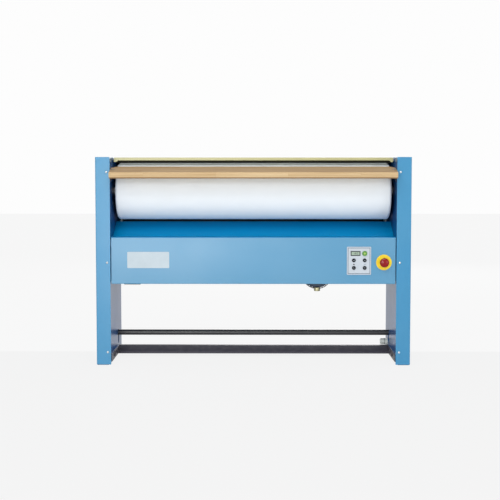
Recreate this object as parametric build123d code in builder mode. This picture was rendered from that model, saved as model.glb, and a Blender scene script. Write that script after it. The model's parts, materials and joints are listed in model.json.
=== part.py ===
"""Flatwork ironer: a padded roller turns against a heated shoe between two narrow columns.

X runs to the right as seen by the operator, Y runs to the back and Z up.  The origin is
on the floor, in the middle of the width and of the whole depth.  All sizes are in mm.
"""
import os
from math import atan2, cos, degrees, hypot, pi, radians, sin, sqrt

from build123d import *

# ---------------------------------------------------------------- overall
width = 1370.0
height = 908.0
column_width = 63.0
column_depth = 345.0
board_overhang = 60.0
sheet = 2.0
plate = 5.0
bend = 4.0
fit = 0.05
gap = 0.5

half_gap = width / 2 - column_width
inner_half = half_gap - gap
front = (board_overhang - column_depth) / 2
rear = front + column_depth

# ---------------------------------------------------------------- columns
base_thickness = 6.0
base_inset = 10.0
cover_lift = 2.0
plate_flange = 26.0
screw_inset = 14.5
lowest_screw = 56.0
highest_screw_drop = 65.0
screw_radius = 2.5
screw_head_radius = 5.0
screw_head_height = 3.0

highest_screw = height - highest_screw_drop
screw_heights = (lowest_screw, (lowest_screw + highest_screw) / 2, highest_screw)

# ---------------------------------------------------------------- lanes inside a column
lane_clearance = 2.0
arm_thickness = 6.0
arm_lane = half_gap + plate + 7.0
rod_lane = arm_lane + arm_thickness + 1.0
chain_lane = rod_lane + arm_thickness + 12.0

# ---------------------------------------------------------------- roller
roller_diameter = 250.0
roller_end_gap = 18.0
roller_setback = 165.0
roller_drop = 151.0
cloth = 1.5
padding = 8.0
tube_wall = 5.0
cover_hem_width = 33.0
journal_radius = 20.0
roller_boss_radius = 32.0
end_disc_thickness = 10.0
end_disc_recess = 5.0

roller_radius = roller_diameter / 2
tube_radius = roller_radius - cloth - padding
roller_half = half_gap - roller_end_gap
roller_y = front + roller_setback
roller_z = height - roller_drop

# ---------------------------------------------------------------- linen tray, ending under the roller
tray_ledge = 90.0
tray_depth = 205.0
tray_rise = 61.6
tray_clearance = 16.8
tray_lip = 16.0

tray_end_y = front + tray_depth
tray_end_z = roller_z - sqrt((roller_radius + tray_clearance) ** 2 - (tray_end_y - roller_y) ** 2)
tray_ledge_z = tray_end_z - tray_rise

# ---------------------------------------------------------------- front panel and what it carries
panel_height = 202.5
panel_flange = 24.0
panel_setback = 6.0
panel_end_gap = 3.0
panel_ear = 24.0

panel_face = front + panel_setback
panel_back = panel_face + panel_flange
panel_half = half_gap - panel_end_gap
panel_top = tray_ledge_z - sheet / 2
panel_bottom = panel_top - panel_height

name_plate_width = 183.0
name_plate_height = 71.0
name_plate_inset = 164.5
name_plate_rise = 105.0
label_thickness = 1.0

estop_inset = 54.0
estop_rise = 95.0
estop_plate_radius = 34.0
estop_plate_thickness = 1.5
estop_barrel_radius = 11.0
estop_collar_radius = 14.5
estop_collar_height = 9.0
estop_cap_radius = 20.0
estop_waist_radius = 12.0
estop_waist_height = 4.0
estop_rim_height = 2.0
estop_dome_height = 8.0
estop_stem_radius = 6.0
estop_travel = 5.0
estop_block = (34.0, 38.0, 42.0)

keypad_width = 105.0
keypad_height = 122.0
keypad_spacing = 108.5
keypad_rise = 102.0
keypad_thickness = 3.0
keypad_rim = 5.0
keypad_recess = 1.0
display_width = 43.0
display_height = 22.0
display_place = (-15.0, 32.0)
start_radius = 11.0
start_place = (25.0, 32.0)
key_radius = 8.0
key_places = {
    "key_up": (-22.0, 2.0),
    "key_right": (25.0, 2.0),
    "key_left": (-22.0, -31.0),
    "key_down": (25.0, -31.0),
}
key_proud = 3.5
key_travel = 2.5
key_clearance = 0.4
lamp_radius = 3.0
lamp_place = (-22.0, -16.0)
control_box_depth = 58.0
control_wall = 2.0
circuit_board_thickness = 1.6

name_plate_x = name_plate_inset - half_gap
name_plate_z = panel_bottom + name_plate_rise
estop_x = half_gap - estop_inset
estop_z = panel_bottom + estop_rise
keypad_x = estop_x - keypad_spacing
keypad_z = panel_bottom + keypad_rise

# ---------------------------------------------------------------- heated shoe, closed by the pedal
shoe_gap = 1.5
shoe_thickness = 14.0
shoe_end_gap = 22.0
shoe_top_angle = 78.0
shoe_wrap = 136.0
shoe_opening = 3.0
shoe_pivot_setback = 262.0
shoe_pivot_drop = 157.0
shoe_pin_radius = 10.0
shoe_boss_radius = 20.0
shoe_arm_thickness = 8.0
heater_radius = 6.0
heater_count = 5
heater_seat = 0.35
jacket_space = 14.0
jacket_sheet = 1.5
jacket_top_inset = 26.0
jacket_bottom_inset = 6.0
lever_length = 158.0

shoe_half = half_gap - shoe_end_gap
shoe_pivot_y = front + shoe_pivot_setback
shoe_pivot_z = roller_z - shoe_pivot_drop
shoe_inner = roller_radius + shoe_gap
shoe_outer = shoe_inner + shoe_thickness
shoe_end_angle = shoe_top_angle - shoe_wrap

# ---------------------------------------------------------------- foot pedal
pedal_setback = 245.0
pedal_pivot_setback = 60.0
pedal_z = 106.0
pedal_radius = 12.5
pedal_wall = 2.5
pedal_drop = 35.0
pedal_pin_radius = 8.0
pedal_slot_clearance = 2.5
pedal_eye_radius = 5.0
rod_width = 14.0
rod_open_clearance = 0.6

pedal_y = front + pedal_setback
pedal_pivot_y = front + pedal_pivot_setback
pedal_pivot_z = pedal_z - pedal_drop / 2
pedal_shield_radius = pedal_drop + pedal_radius + 2 * pedal_slot_clearance
pedal_tilt = degrees(atan2(pedal_z - pedal_pivot_z, pedal_y - pedal_pivot_y))
rod_y = shoe_pivot_y - lever_length
rod_reach = (rod_y - pedal_pivot_y) / cos(radians(pedal_tilt))
rod_bottom_z = pedal_pivot_z + rod_reach * sin(radians(pedal_tilt))

# ---------------------------------------------------------------- feed board and finger guard
board_thickness = 28.0
board_run = 117.0
board_rise = 25.0
board_drop = 66.0
board_end_gap = 4.0
board_corner_clip = 24.0
board_edge_radius = 4.0
bracket_sheet = 3.0
bracket_leaf = 28.0
board_screw_radius = 3.0

board_front_z = height - board_drop
board_angle = atan2(board_rise, board_run)

guard_setback = 96.0
guard_drop = 1.0
guard_lip = 12.5
guard_depth = 46.0
guard_rear_lip = 22.5
guard_ear_width = 18.0
guard_ear_height = 20.0
guard_end_gap = 6.0
guard_pivot_depth = 38.0
guard_pivot_drop = 11.0
guard_pin_radius = 4.0

guard_y = front + guard_setback
guard_top = height - guard_drop
guard_half = half_gap - guard_end_gap
guard_pivot_y = guard_y + guard_pivot_depth
guard_pivot_z = guard_top - guard_pivot_drop

# ---------------------------------------------------------------- rails, rear casing
rail_width = 20.0
rail_height = 20.0
rail_wall = 2.0
rail_clearance = 4.0
rear_panel_setback = 5.0
rear_panel_flange = 16.0
top_cover_reach = 17.0
top_cover_lip = 10.0
top_cover_drop = 4.0
louvre_length = 110.0
louvre_height = 9.0
louvre_hood = 6.0
louvre_sheet = 1.2
louvre_pitch = 19.0
louvre_rows = 5
louvre_columns = 5
louvre_margin = 166.5
louvre_drop = 108.0

rail_bottom = panel_top - rail_height
front_rail_y = panel_back + rail_clearance
rear_panel_face = rear - sheet - rear_panel_setback
rear_rail_y = rear_panel_face - rear_panel_flange - rail_clearance - rail_width
top_cover_front = roller_y + top_cover_reach
louvre_span = 2 * (inner_half - louvre_margin) - louvre_length
louvre_centre_z = height - louvre_drop

# ---------------------------------------------------------------- base stretcher
stretcher_setback = 210.0
stretcher_bottom = 13.0
stretcher_lip = 8.0
stretcher_slope_run = 40.0
stretcher_top = 45.0
stretcher_flange = 22.0
stretcher_sheet = 2.5
front_bolt_setback = 92.0
bolt_spacing = 80.0
bolt_radius = 4.0
bolt_head_radius = 7.0
bolt_head_height = 5.0

stretcher_y = front + stretcher_setback
bolt_places = (front + front_bolt_setback, front + front_bolt_setback + bolt_spacing)

# ---------------------------------------------------------------- drive
motor_inset = 342.0
motor_rise = 42.0
motor_setback = 60.0
motor_radius = 61.0
fin_radius = 67.5
fin_count = 32
fin_thickness = 2.5
motor_body_length = 146.0
motor_bell_length = 29.0
motor_flange = 8.0
motor_gland_radius = 13.5
motor_gland_drop = 34.5
worm_offset = 45.0
gearbox_radius = 52.0
gearbox_width = 84.0
gearbox_end = 12.0
gearbox_ribs = 4
worm_housing_radius = 32.0
drive_shaft_radius = 12.5
chain_pitch = 12.7
chain_roller_radius = 4.25
chain_plate_height = 11.0
chain_plate_thickness = 1.5
sprocket_thickness = 7.0
roller_teeth = 44
drive_teeth = 16

motor_x = half_gap - motor_inset
motor_z = panel_bottom + motor_rise
motor_front = front + motor_setback
motor_gland_bottom = panel_bottom - motor_gland_drop
drive_y = motor_front + motor_body_length + motor_flange + gearbox_radius + gearbox_end
drive_z = motor_z + worm_offset

terminal_box_width = 74.0
terminal_box_depth = 62.0
terminal_box_inset = 92.0
terminal_box_drop = 5.0

terminal_box_x = terminal_box_inset - half_gap
terminal_box_bottom = panel_bottom - terminal_box_drop

gland_setback = 282.0
gland_z = 59.0
gland_radius = 14.0
gland_length = 34.0

gland_y = front + gland_setback


def front_plane(x, y, z):
    """A plane that faces the operator, with its own x to the right and its y up."""
    return Plane(origin=(x, y, z), x_dir=(1, 0, 0), z_dir=(0, -1, 0))


def span_box(x_span, y_span, z_span, mode=Mode.ADD):
    """A box between three pairs of limits."""
    middle = [(span[0] + span[1]) / 2 for span in (x_span, y_span, z_span)]
    lengths = [span[1] - span[0] for span in (x_span, y_span, z_span)]
    with Locations(tuple(middle)):
        Box(*lengths, mode=mode)


def cross_bar(radius, x_start, x_end, y, z, mode=Mode.ADD):
    """A round bar along X between two stations."""
    with Locations(Location(((x_start + x_end) / 2, y, z), (0, 90, 0))):
        Cylinder(radius, x_end - x_start, mode=mode)


def folded_sheet(points, half_length, thickness, radius=bend):
    """A bent sheet whose section is in the YZ plane, as long as the machine's inner width."""
    with BuildPart() as folded:
        with BuildSketch(Plane.YZ.offset(-half_length)):
            with BuildLine():
                FilletPolyline(*points, radius=radius)
            trace(line_width=thickness)
        extrude(amount=2 * half_length)
    return folded.part


def folded_panel(outer_y, flange, bottom, top, half_length):
    """A wide panel whose four edges are folded back, away from its outer face."""
    inward = 1 if flange > 0 else -1
    face_y = outer_y + inward * sheet / 2
    edge_y = outer_y + flange
    with BuildPart() as panel:
        add(
            folded_sheet(
                [
                    (edge_y, bottom + sheet / 2),
                    (face_y, bottom + sheet / 2),
                    (face_y, top - sheet / 2),
                    (edge_y, top - sheet / 2),
                ],
                half_length,
                sheet,
                radius=bend / 2,
            )
        )
        for side in (-1, 1):
            wall_span = sorted((side * half_length, side * (half_length - sheet)))
            depth_span = sorted((outer_y + inward * sheet, edge_y))
            span_box(wall_span, depth_span, (bottom + sheet, top - sheet))
    return panel.part


def link_outline(start, start_radius, end, end_radius):
    """The outline of a flat link with two round ends, in the sketch that is open."""
    with BuildSketch(mode=Mode.PRIVATE) as outline:
        with Locations(start):
            Circle(start_radius)
        with Locations(end):
            Circle(end_radius)
        make_hull()
    add(outline.sketch)


def write(piece, name):
    """Labels a finished piece and writes it as one file."""
    piece.label = name
    export_step(piece, f"parts/{name}.step")


os.makedirs("parts", exist_ok=True)

# ================================================================ columns
with BuildPart() as base_plates:
    span_box(
        (half_gap + base_inset, width / 2 - sheet - gap),
        (front + sheet + gap, rear - sheet - gap),
        (0, base_thickness),
    )
    fillet(base_plates.edges().filter_by(Axis.Z).group_by(Axis.X)[-1], bend)
    mirror(about=Plane.YZ)
write(base_plates.part, "base_plates")

screw_planes = [
    front_plane(side * (half_gap + screw_inset), front, z) for side in (-1, 1) for z in screw_heights
]

with BuildPart() as column_screws:
    with Locations(*screw_planes):
        Cylinder(
            screw_head_radius,
            screw_head_height,
            align=(Align.CENTER, Align.CENTER, Align.MIN),
        )
        Cylinder(
            screw_radius,
            2 * sheet + plate,
            align=(Align.CENTER, Align.CENTER, Align.MAX),
        )
    chamfer(column_screws.edges().group_by(Axis.Y)[0], screw_head_height * 0.4)
write(column_screws.part, "column_screws")

with BuildPart() as right_column_cover:
    span_box((half_gap, width / 2), (front, rear), (cover_lift, height))
    fillet(right_column_cover.edges().filter_by(Axis.Z).group_by(Axis.X)[-1], bend)
    chamfer(right_column_cover.edges().group_by(Axis.Z)[-1], bend / 4)
    with BuildSketch(Plane.XY) as hollow:
        with Locations(((half_gap + width / 2 - sheet) / 2, (front + rear) / 2)):
            Rectangle(column_width - sheet, column_depth - 2 * sheet)
        fillet(hollow.vertices().group_by(Axis.X)[-1], bend - sheet)
    extrude(amount=height - sheet, mode=Mode.SUBTRACT)
    with Locations(*screw_planes):
        Cylinder(screw_radius + fit, 4 * sheet, mode=Mode.SUBTRACT)
write(right_column_cover.part, "right_column_cover")

with BuildPart() as left_column_cover:
    mirror(right_column_cover.part, about=Plane.YZ)
write(left_column_cover.part, "left_column_cover")

plate_front = front + sheet
plate_rear = rear - sheet
plate_top = height - sheet

with BuildPart() as side_plate:
    span_box((half_gap, half_gap + plate_flange), (plate_front, plate_rear), (base_thickness, plate_top))
    span_box(
        (half_gap + plate, half_gap + 2 * plate_flange),
        (plate_front + plate, plate_rear - plate),
        (0, height),
        mode=Mode.SUBTRACT,
    )
    # Between its two flanges the wall ends level with the stretcher's underside.
    span_box(
        (half_gap, half_gap + plate),
        (plate_front + plate, plate_rear - plate),
        (0, stretcher_bottom),
        mode=Mode.SUBTRACT,
    )
    with BuildSketch(Plane.YZ.offset(half_gap)):
        with Locations((roller_y, roller_z)):
            Circle(journal_radius + lane_clearance)
        with Locations((shoe_pivot_y, shoe_pivot_z)):
            Circle(shoe_pin_radius + fit)
        with Locations((pedal_pivot_y, pedal_pivot_z)):
            Circle(pedal_pin_radius - plate / 2)
        with Locations((guard_pivot_y, guard_pivot_z)):
            Circle(guard_pin_radius)
        with Locations((pedal_y, pedal_z - pedal_drop / 2)):
            SlotCenterToCenter(pedal_drop, 2 * (pedal_radius + pedal_slot_clearance), rotation=90)
        for bolt_y in bolt_places:
            with Locations((bolt_y, (stretcher_bottom + stretcher_top) / 2)):
                Circle(bolt_radius + fit)
    extrude(amount=plate, mode=Mode.SUBTRACT)
    with Locations(*screw_planes):
        Cylinder(screw_radius + fit, 4 * plate, mode=Mode.SUBTRACT)

with BuildPart() as left_side_plate:
    mirror(side_plate.part, about=Plane.YZ)
write(left_side_plate.part, "left_side_plate")

with BuildPart() as right_side_plate:
    add(side_plate.part)
    with BuildSketch(Plane.YZ.offset(half_gap)):
        with Locations((drive_y, drive_z)):
            Circle(drive_shaft_radius + lane_clearance)
        with Locations((gland_y, gland_z)):
            Circle(gland_radius * 0.72 + fit)
    extrude(amount=plate, mode=Mode.SUBTRACT)
write(right_side_plate.part, "right_side_plate")

# ================================================================ casing between the columns
with BuildPart() as front_panel:
    add(folded_panel(panel_face, panel_flange, panel_bottom, panel_top, panel_half))
    for side in (-1, 1):
        ear_x = sorted((side * (panel_half - sheet), side * inner_half))
        for ear_z in (panel_bottom + panel_ear, panel_top - panel_ear):
            ear_height = (ear_z - panel_ear / 2, ear_z + panel_ear / 2)
            span_box(ear_x, (panel_face + 2 * bend, panel_back), ear_height)
    with BuildSketch(front_plane(0, panel_face, 0)):
        with Locations((keypad_x, keypad_z)):
            Rectangle(keypad_width - 4 * keypad_rim, keypad_height - 4 * keypad_rim)
        with Locations((estop_x, estop_z)):
            Circle(estop_barrel_radius + fit)
    extrude(amount=-sheet, mode=Mode.SUBTRACT)
write(front_panel.part, "front_panel")

linen_tray = folded_sheet(
    [
        (panel_face + bend, tray_ledge_z),
        (front + tray_ledge, tray_ledge_z),
        (tray_end_y, tray_end_z),
        (tray_end_y, tray_end_z - tray_lip),
    ],
    inner_half,
    sheet,
)
write(linen_tray, "linen_tray")

top_cover_z = height - top_cover_drop - sheet / 2
top_cover = folded_sheet(
    [
        (top_cover_front, top_cover_z - top_cover_lip),
        (top_cover_front, top_cover_z),
        (plate_rear, top_cover_z),
    ],
    inner_half,
    sheet,
    radius=bend / 2,
)
write(top_cover, "top_cover")

rear_panel_top = top_cover_z - sheet / 2


def louvre_wedge(hood, top, length):
    """A wedge through the panel: as high as `top` at its face, standing out by `hood` at its foot."""
    with BuildPart() as wedge:
        with BuildSketch(Plane.YZ.offset(-length / 2)):
            Polygon(
                (rear_panel_face - sheet, 0),
                (rear_panel_face - sheet, top),
                (rear_panel_face, top),
                (rear_panel_face + hood, 0),
                align=None,
            )
        extrude(amount=length)
    return wedge.part


with BuildPart() as rear_panel:
    add(folded_panel(rear_panel_face, -rear_panel_flange, panel_bottom, rear_panel_top, inner_half))
    louvre_column_pitch = louvre_span / (louvre_columns - 1)
    louvre_places = []
    for column in range(louvre_columns):
        for row in range(louvre_rows):
            louvre_x = (column - (louvre_columns - 1) / 2) * louvre_column_pitch
            louvre_z = louvre_centre_z + (row - (louvre_rows - 1) / 2) * louvre_pitch
            louvre_places.append((louvre_x, 0, louvre_z))
    hood_slope = hypot(louvre_hood, louvre_height)
    inner_hood = louvre_hood - louvre_sheet * hood_slope / louvre_height
    inner_top = louvre_height - louvre_sheet * hood_slope / louvre_hood
    with Locations(*louvre_places):
        add(louvre_wedge(louvre_hood, louvre_height, louvre_length))
    with Locations(*louvre_places):
        add(louvre_wedge(inner_hood, inner_top, louvre_length - 2 * louvre_sheet), mode=Mode.SUBTRACT)
write(rear_panel.part, "rear_panel")

for name, rail_y in (("front_rail", front_rail_y), ("rear_rail", rear_rail_y)):
    with BuildPart() as rail:
        with BuildSketch(Plane.YZ.offset(-half_gap)):
            with Locations((rail_y + rail_width / 2, rail_bottom + rail_height / 2)):
                RectangleRounded(rail_width, rail_height, rail_wall)
                Rectangle(rail_width - 2 * rail_wall, rail_height - 2 * rail_wall, mode=Mode.SUBTRACT)
        extrude(amount=2 * half_gap)
    write(rail.part, name)

# ================================================================ base stretcher
stretcher_back = stretcher_y + stretcher_slope_run + stretcher_flange
bracket_half = half_gap - bracket_sheet
base_stretcher = folded_sheet(
    [
        (stretcher_y + stretcher_flange, stretcher_bottom + stretcher_sheet / 2),
        (stretcher_y, stretcher_bottom + stretcher_sheet / 2),
        (stretcher_y, stretcher_bottom + stretcher_lip),
        (stretcher_y + stretcher_slope_run, stretcher_top - stretcher_sheet / 2),
        (stretcher_back, stretcher_top - stretcher_sheet / 2),
        (stretcher_back, stretcher_bottom + stretcher_lip),
    ],
    bracket_half,
    stretcher_sheet,
    radius=bend / 2,
)
write(base_stretcher, "base_stretcher")

with BuildPart() as stretcher_brackets:
    with BuildSketch(Plane.YZ.offset(bracket_half)):
        with BuildLine():
            Polyline(
                (plate_front + plate, stretcher_bottom),
                (stretcher_back, stretcher_bottom),
                (stretcher_back, stretcher_top),
                (plate_front + 2 * plate, stretcher_top),
                (plate_front + plate, stretcher_top - plate),
                close=True,
            )
        make_face()
        for bolt_y in bolt_places:
            with Locations((bolt_y, (stretcher_bottom + stretcher_top) / 2)):
                Circle(bolt_radius + fit, mode=Mode.SUBTRACT)
    extrude(amount=bracket_sheet)
    mirror(about=Plane.YZ)
write(stretcher_brackets.part, "stretcher_brackets")

with BuildPart() as stretcher_bolts:
    for bolt_y in bolt_places:
        bolt_z = (stretcher_bottom + stretcher_top) / 2
        with BuildSketch(Plane.YZ.offset(bracket_half - bolt_head_height)):
            with Locations((bolt_y, bolt_z)):
                RegularPolygon(bolt_head_radius, 6)
        extrude(amount=bolt_head_height)
        cross_bar(bolt_radius, bracket_half, half_gap + plate + bolt_radius, bolt_y, bolt_z)
    mirror(about=Plane.YZ)
write(stretcher_bolts.part, "stretcher_bolts")

# ================================================================ feed board
# The rounded top edge of the board's front is the foremost line of the machine.
edge_pull = board_edge_radius * (cos(board_angle) + sin(board_angle) - 1)
board_plane = Plane(
    origin=(0, front - board_overhang - edge_pull, board_front_z),
    x_dir=(1, 0, 0),
    z_dir=(0, -sin(board_angle), cos(board_angle)),
)
board_half = half_gap - board_end_gap
board_depth = hypot(board_run, board_rise)
board_screw_x = half_gap - bracket_leaf / 2
board_screw_y = board_overhang - 5.0

with BuildPart() as feed_board:
    with BuildSketch(board_plane) as board_outline:
        with Locations((0, board_depth / 2)):
            Rectangle(2 * board_half, board_depth)
        chamfer(board_outline.vertices().group_by(Axis.Y)[-1], board_corner_clip)
    extrude(amount=-board_thickness)
    long_edges = feed_board.edges().filter_by(Axis.X)
    fillet(long_edges.group_by(Axis.Y)[0] + long_edges.group_by(Axis.Y)[1], board_edge_radius)
    with Locations(board_plane):
        with Locations((-board_screw_x, board_screw_y), (board_screw_x, board_screw_y)):
            CounterSinkHole(board_screw_radius + fit, 2 * board_screw_radius + fit)
write(feed_board.part, "feed_board")

with BuildPart() as feed_board_screws:
    with Locations(board_plane):
        with Locations((-board_screw_x, board_screw_y), (board_screw_x, board_screw_y)):
            Cylinder(
                board_screw_radius,
                board_thickness + bracket_sheet,
                align=(Align.CENTER, Align.CENTER, Align.MAX),
            )
            Cone(
                board_screw_radius,
                2 * board_screw_radius,
                board_screw_radius,
                align=(Align.CENTER, Align.CENTER, Align.MAX),
            )
write(feed_board_screws.part, "feed_board_screws")

leaf_plane = board_plane.offset(-board_thickness)
leaf_start = board_overhang - bracket_leaf
leaf_end = board_depth - bracket_leaf / 2
wall_start = board_overhang + plate
with BuildPart() as board_brackets:
    with BuildSketch(leaf_plane):
        with Locations((half_gap - bracket_leaf / 2 - gap, (leaf_start + leaf_end) / 2)):
            Rectangle(bracket_leaf, leaf_end - leaf_start)
        with Locations((board_screw_x, board_screw_y)):
            Circle(board_screw_radius + fit, mode=Mode.SUBTRACT)
    extrude(amount=-bracket_sheet)
    with BuildSketch(leaf_plane):
        with Locations((half_gap - bracket_sheet / 2, (wall_start + leaf_end) / 2)):
            Rectangle(bracket_sheet, leaf_end - wall_start)
    extrude(amount=-bracket_leaf)
    mirror(about=Plane.YZ)
write(board_brackets.part, "board_brackets")

# ================================================================ labels and keypad
with BuildPart() as name_plate:
    with BuildSketch(front_plane(name_plate_x, panel_face, name_plate_z)):
        RectangleRounded(name_plate_width, name_plate_height, bend)
    extrude(amount=label_thickness)
write(name_plate.part, "name_plate")

keypad_plane = front_plane(keypad_x, panel_face, keypad_z)
keypad_face = keypad_plane.offset(keypad_thickness)
with BuildPart() as keypad_plate:
    with BuildSketch(keypad_plane):
        RectangleRounded(keypad_width, keypad_height, bend)
    extrude(amount=keypad_thickness)
    with BuildSketch(keypad_face):
        RectangleRounded(keypad_width - 2 * keypad_rim, keypad_height - 2 * keypad_rim, bend / 2)
    extrude(amount=-keypad_recess, mode=Mode.SUBTRACT)
    with BuildSketch(keypad_plane):
        with Locations(*key_places.values()):
            Circle(key_radius + key_clearance)
        with Locations(start_place):
            Circle(start_radius + key_clearance)
        with Locations(lamp_place):
            Circle(lamp_radius + fit)
        with Locations(display_place):
            Rectangle(display_width + 2 * fit, display_height + 2 * fit)
    extrude(amount=keypad_thickness, mode=Mode.SUBTRACT)
write(keypad_plate.part, "keypad_plate")

# The circuit board behind the panel carries the display, the lamp and the key switches.
circuit_front = panel_face + sheet + key_proud + key_travel + gap
with BuildPart() as control_box:
    box_x = (keypad_x - keypad_width / 2, keypad_x + keypad_width / 2)
    box_z = (keypad_z - keypad_height / 2, keypad_z + keypad_height / 2)
    span_box(box_x, (panel_face + sheet, panel_face + sheet + control_box_depth), box_z)
    fillet(control_box.edges().filter_by(Axis.Y), bend / 2)
    inner_x = (box_x[0] + control_wall, box_x[1] - control_wall)
    inner_z = (box_z[0] + control_wall, box_z[1] - control_wall)
    span_box(inner_x, (panel_face, circuit_front), inner_z, mode=Mode.SUBTRACT)
    behind_board = circuit_front + circuit_board_thickness
    back_wall = panel_face + sheet + control_box_depth - control_wall
    span_box(inner_x, (behind_board, back_wall), inner_z, mode=Mode.SUBTRACT)
write(control_box.part, "control_box")

keypad_floor = keypad_thickness - keypad_recess
with BuildPart() as display_window:
    with BuildSketch(keypad_face.offset(-keypad_recess)):
        with Locations(display_place):
            RectangleRounded(display_width, display_height, bend / 4)
    extrude(amount=-(keypad_floor + circuit_front - panel_face))
write(display_window.part, "display_window")

with BuildPart() as status_lamp:
    with BuildSketch(keypad_face.offset(-keypad_recess)):
        with Locations(lamp_place):
            Circle(lamp_radius)
    extrude(amount=lamp_radius / 2)
    chamfer(status_lamp.edges().group_by(Axis.Y)[0], lamp_radius / 3)
    with BuildSketch(keypad_face.offset(-keypad_recess)):
        with Locations(lamp_place):
            Circle(lamp_radius)
    extrude(amount=-(keypad_floor + circuit_front - panel_face))
write(status_lamp.part, "status_lamp")


def push_button(radius, place):
    """A round button that stands proud of the keypad and ends short of its switch."""
    with BuildPart() as button:
        with BuildSketch(keypad_face.offset(-keypad_recess)):
            with Locations(place):
                Circle(radius)
        extrude(amount=key_proud)
        chamfer(button.edges().group_by(Axis.Y)[0], key_proud / 5)
        with BuildSketch(keypad_face.offset(-keypad_recess)):
            with Locations(place):
                Circle(radius)
        extrude(amount=-(keypad_floor + sheet + key_proud))
    return button.part


write(push_button(start_radius, start_place), "start_button")
for name, place in key_places.items():
    write(push_button(key_radius, place), name)

# ================================================================ emergency stop
estop_plane = front_plane(estop_x, panel_face, estop_z)
with BuildPart() as estop_plate:
    with BuildSketch(estop_plane):
        Circle(estop_plate_radius)
        Circle(estop_barrel_radius + fit, mode=Mode.SUBTRACT)
    extrude(amount=estop_plate_thickness)
write(estop_plate.part, "estop_plate")

estop_collar_top = estop_plate_thickness + estop_collar_height
with BuildPart() as estop_body:
    with BuildSketch(estop_plane.offset(estop_plate_thickness)):
        Circle(estop_collar_radius)
    extrude(amount=estop_collar_height, taper=6)
    with BuildSketch(estop_plane.offset(estop_plate_thickness)):
        Circle(estop_barrel_radius)
    extrude(amount=-(estop_plate_thickness + sheet + estop_collar_height))
    with BuildSketch(estop_plane.offset(-sheet - estop_collar_height)):
        RectangleRounded(estop_block[0], estop_block[1], bend / 2)
    extrude(amount=-estop_block[2])
    with BuildSketch(estop_plane.offset(-sheet)):
        Circle(estop_collar_radius)
    extrude(amount=-sheet)
    with BuildSketch(estop_plane.offset(estop_collar_top)):
        Circle(estop_stem_radius + fit)
    extrude(amount=-(estop_collar_top + sheet + estop_travel), mode=Mode.SUBTRACT)
write(estop_body.part, "estop_body")

estop_cap_base = estop_collar_top + estop_travel + gap
with BuildPart() as estop_stem:
    with BuildSketch(estop_plane.offset(estop_cap_base + estop_stem_radius)):
        Circle(estop_stem_radius)
    extrude(amount=-(estop_cap_base + estop_stem_radius + sheet - gap))
write(estop_stem.part, "estop_stem")

estop_cap_plane = Plane(origin=(estop_x, panel_face - estop_cap_base, estop_z), z_dir=(0, 0, 1))
with BuildPart() as estop_cap:
    with BuildSketch(estop_cap_plane):
        rim_start = estop_waist_height
        rim_end = rim_start + estop_rim_height
        with BuildLine():
            Polyline(
                (0, -rim_end - estop_dome_height),
                (0, 0),
                (estop_waist_radius, 0),
                (estop_waist_radius, -rim_start),
                (estop_cap_radius, -rim_start),
                (estop_cap_radius, -rim_end),
            )
            EllipticalCenterArc(
                (0, -rim_end),
                estop_cap_radius,
                estop_dome_height,
                start_angle=270,
                arc_size=90,
            )
        make_face()
    revolve(axis=Axis((estop_x, 0, estop_z), (0, 1, 0)))
    with BuildSketch(estop_plane.offset(estop_cap_base)):
        Circle(estop_stem_radius + fit)
    extrude(amount=estop_stem_radius + gap, mode=Mode.SUBTRACT)
write(estop_cap.part, "estop_cap")

# ================================================================ roller
roller_axis = Axis((0, roller_y, roller_z), (1, 0, 0))
radial_plane = Plane(origin=(0, roller_y, roller_z), x_dir=(1, 0, 0), z_dir=(0, -1, 0))
tube_half = roller_half - cloth

with BuildPart() as roller_tube:
    cross_bar(tube_radius, -tube_half, tube_half, roller_y, roller_z)
    cross_bar(tube_radius - tube_wall, -tube_half, tube_half, roller_y, roller_z, mode=Mode.SUBTRACT)
write(roller_tube.part, "roller_tube")

padding_chamfer = padding - cloth
with BuildPart() as roller_padding:
    with BuildSketch(radial_plane):
        with BuildLine():
            Polyline(
                (-tube_half, tube_radius),
                (-tube_half, tube_radius + padding - padding_chamfer),
                (-tube_half + padding_chamfer, tube_radius + padding),
                (tube_half - padding_chamfer, tube_radius + padding),
                (tube_half, tube_radius + padding - padding_chamfer),
                (tube_half, tube_radius),
                close=True,
            )
        make_face()
    revolve(axis=roller_axis)
write(roller_padding.part, "roller_padding")

cover_line_radius = roller_radius - cloth / 2
cover_line_half = roller_half - cloth / 2
cover_end_opening = roller_radius - cover_hem_width
with BuildPart() as roller_cover:
    with BuildSketch(radial_plane):
        with BuildLine():
            FilletPolyline(
                (-cover_line_half, cover_end_opening),
                (-cover_line_half, cover_line_radius),
                (cover_line_half, cover_line_radius),
                (cover_line_half, cover_end_opening),
                radius=padding - cloth / 2,
            )
        trace(line_width=cloth)
    revolve(axis=roller_axis)
write(roller_cover.part, "roller_cover")

disc_outer = tube_half - end_disc_recess
disc_inner = disc_outer - end_disc_thickness
journal_end = chain_lane + sprocket_thickness
with BuildPart() as roller_ends:
    for side, end in ((-1, arm_lane + arm_thickness), (1, journal_end)):
        for radius, near, far in (
            (tube_radius - tube_wall, disc_inner, disc_outer),
            (roller_boss_radius, disc_inner - end_disc_thickness, half_gap - 2 * plate),
            (journal_radius, half_gap - 2 * plate, end),
        ):
            cross_bar(radius, *sorted((side * near, side * far)), roller_y, roller_z)
write(roller_ends.part, "roller_ends")


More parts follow.
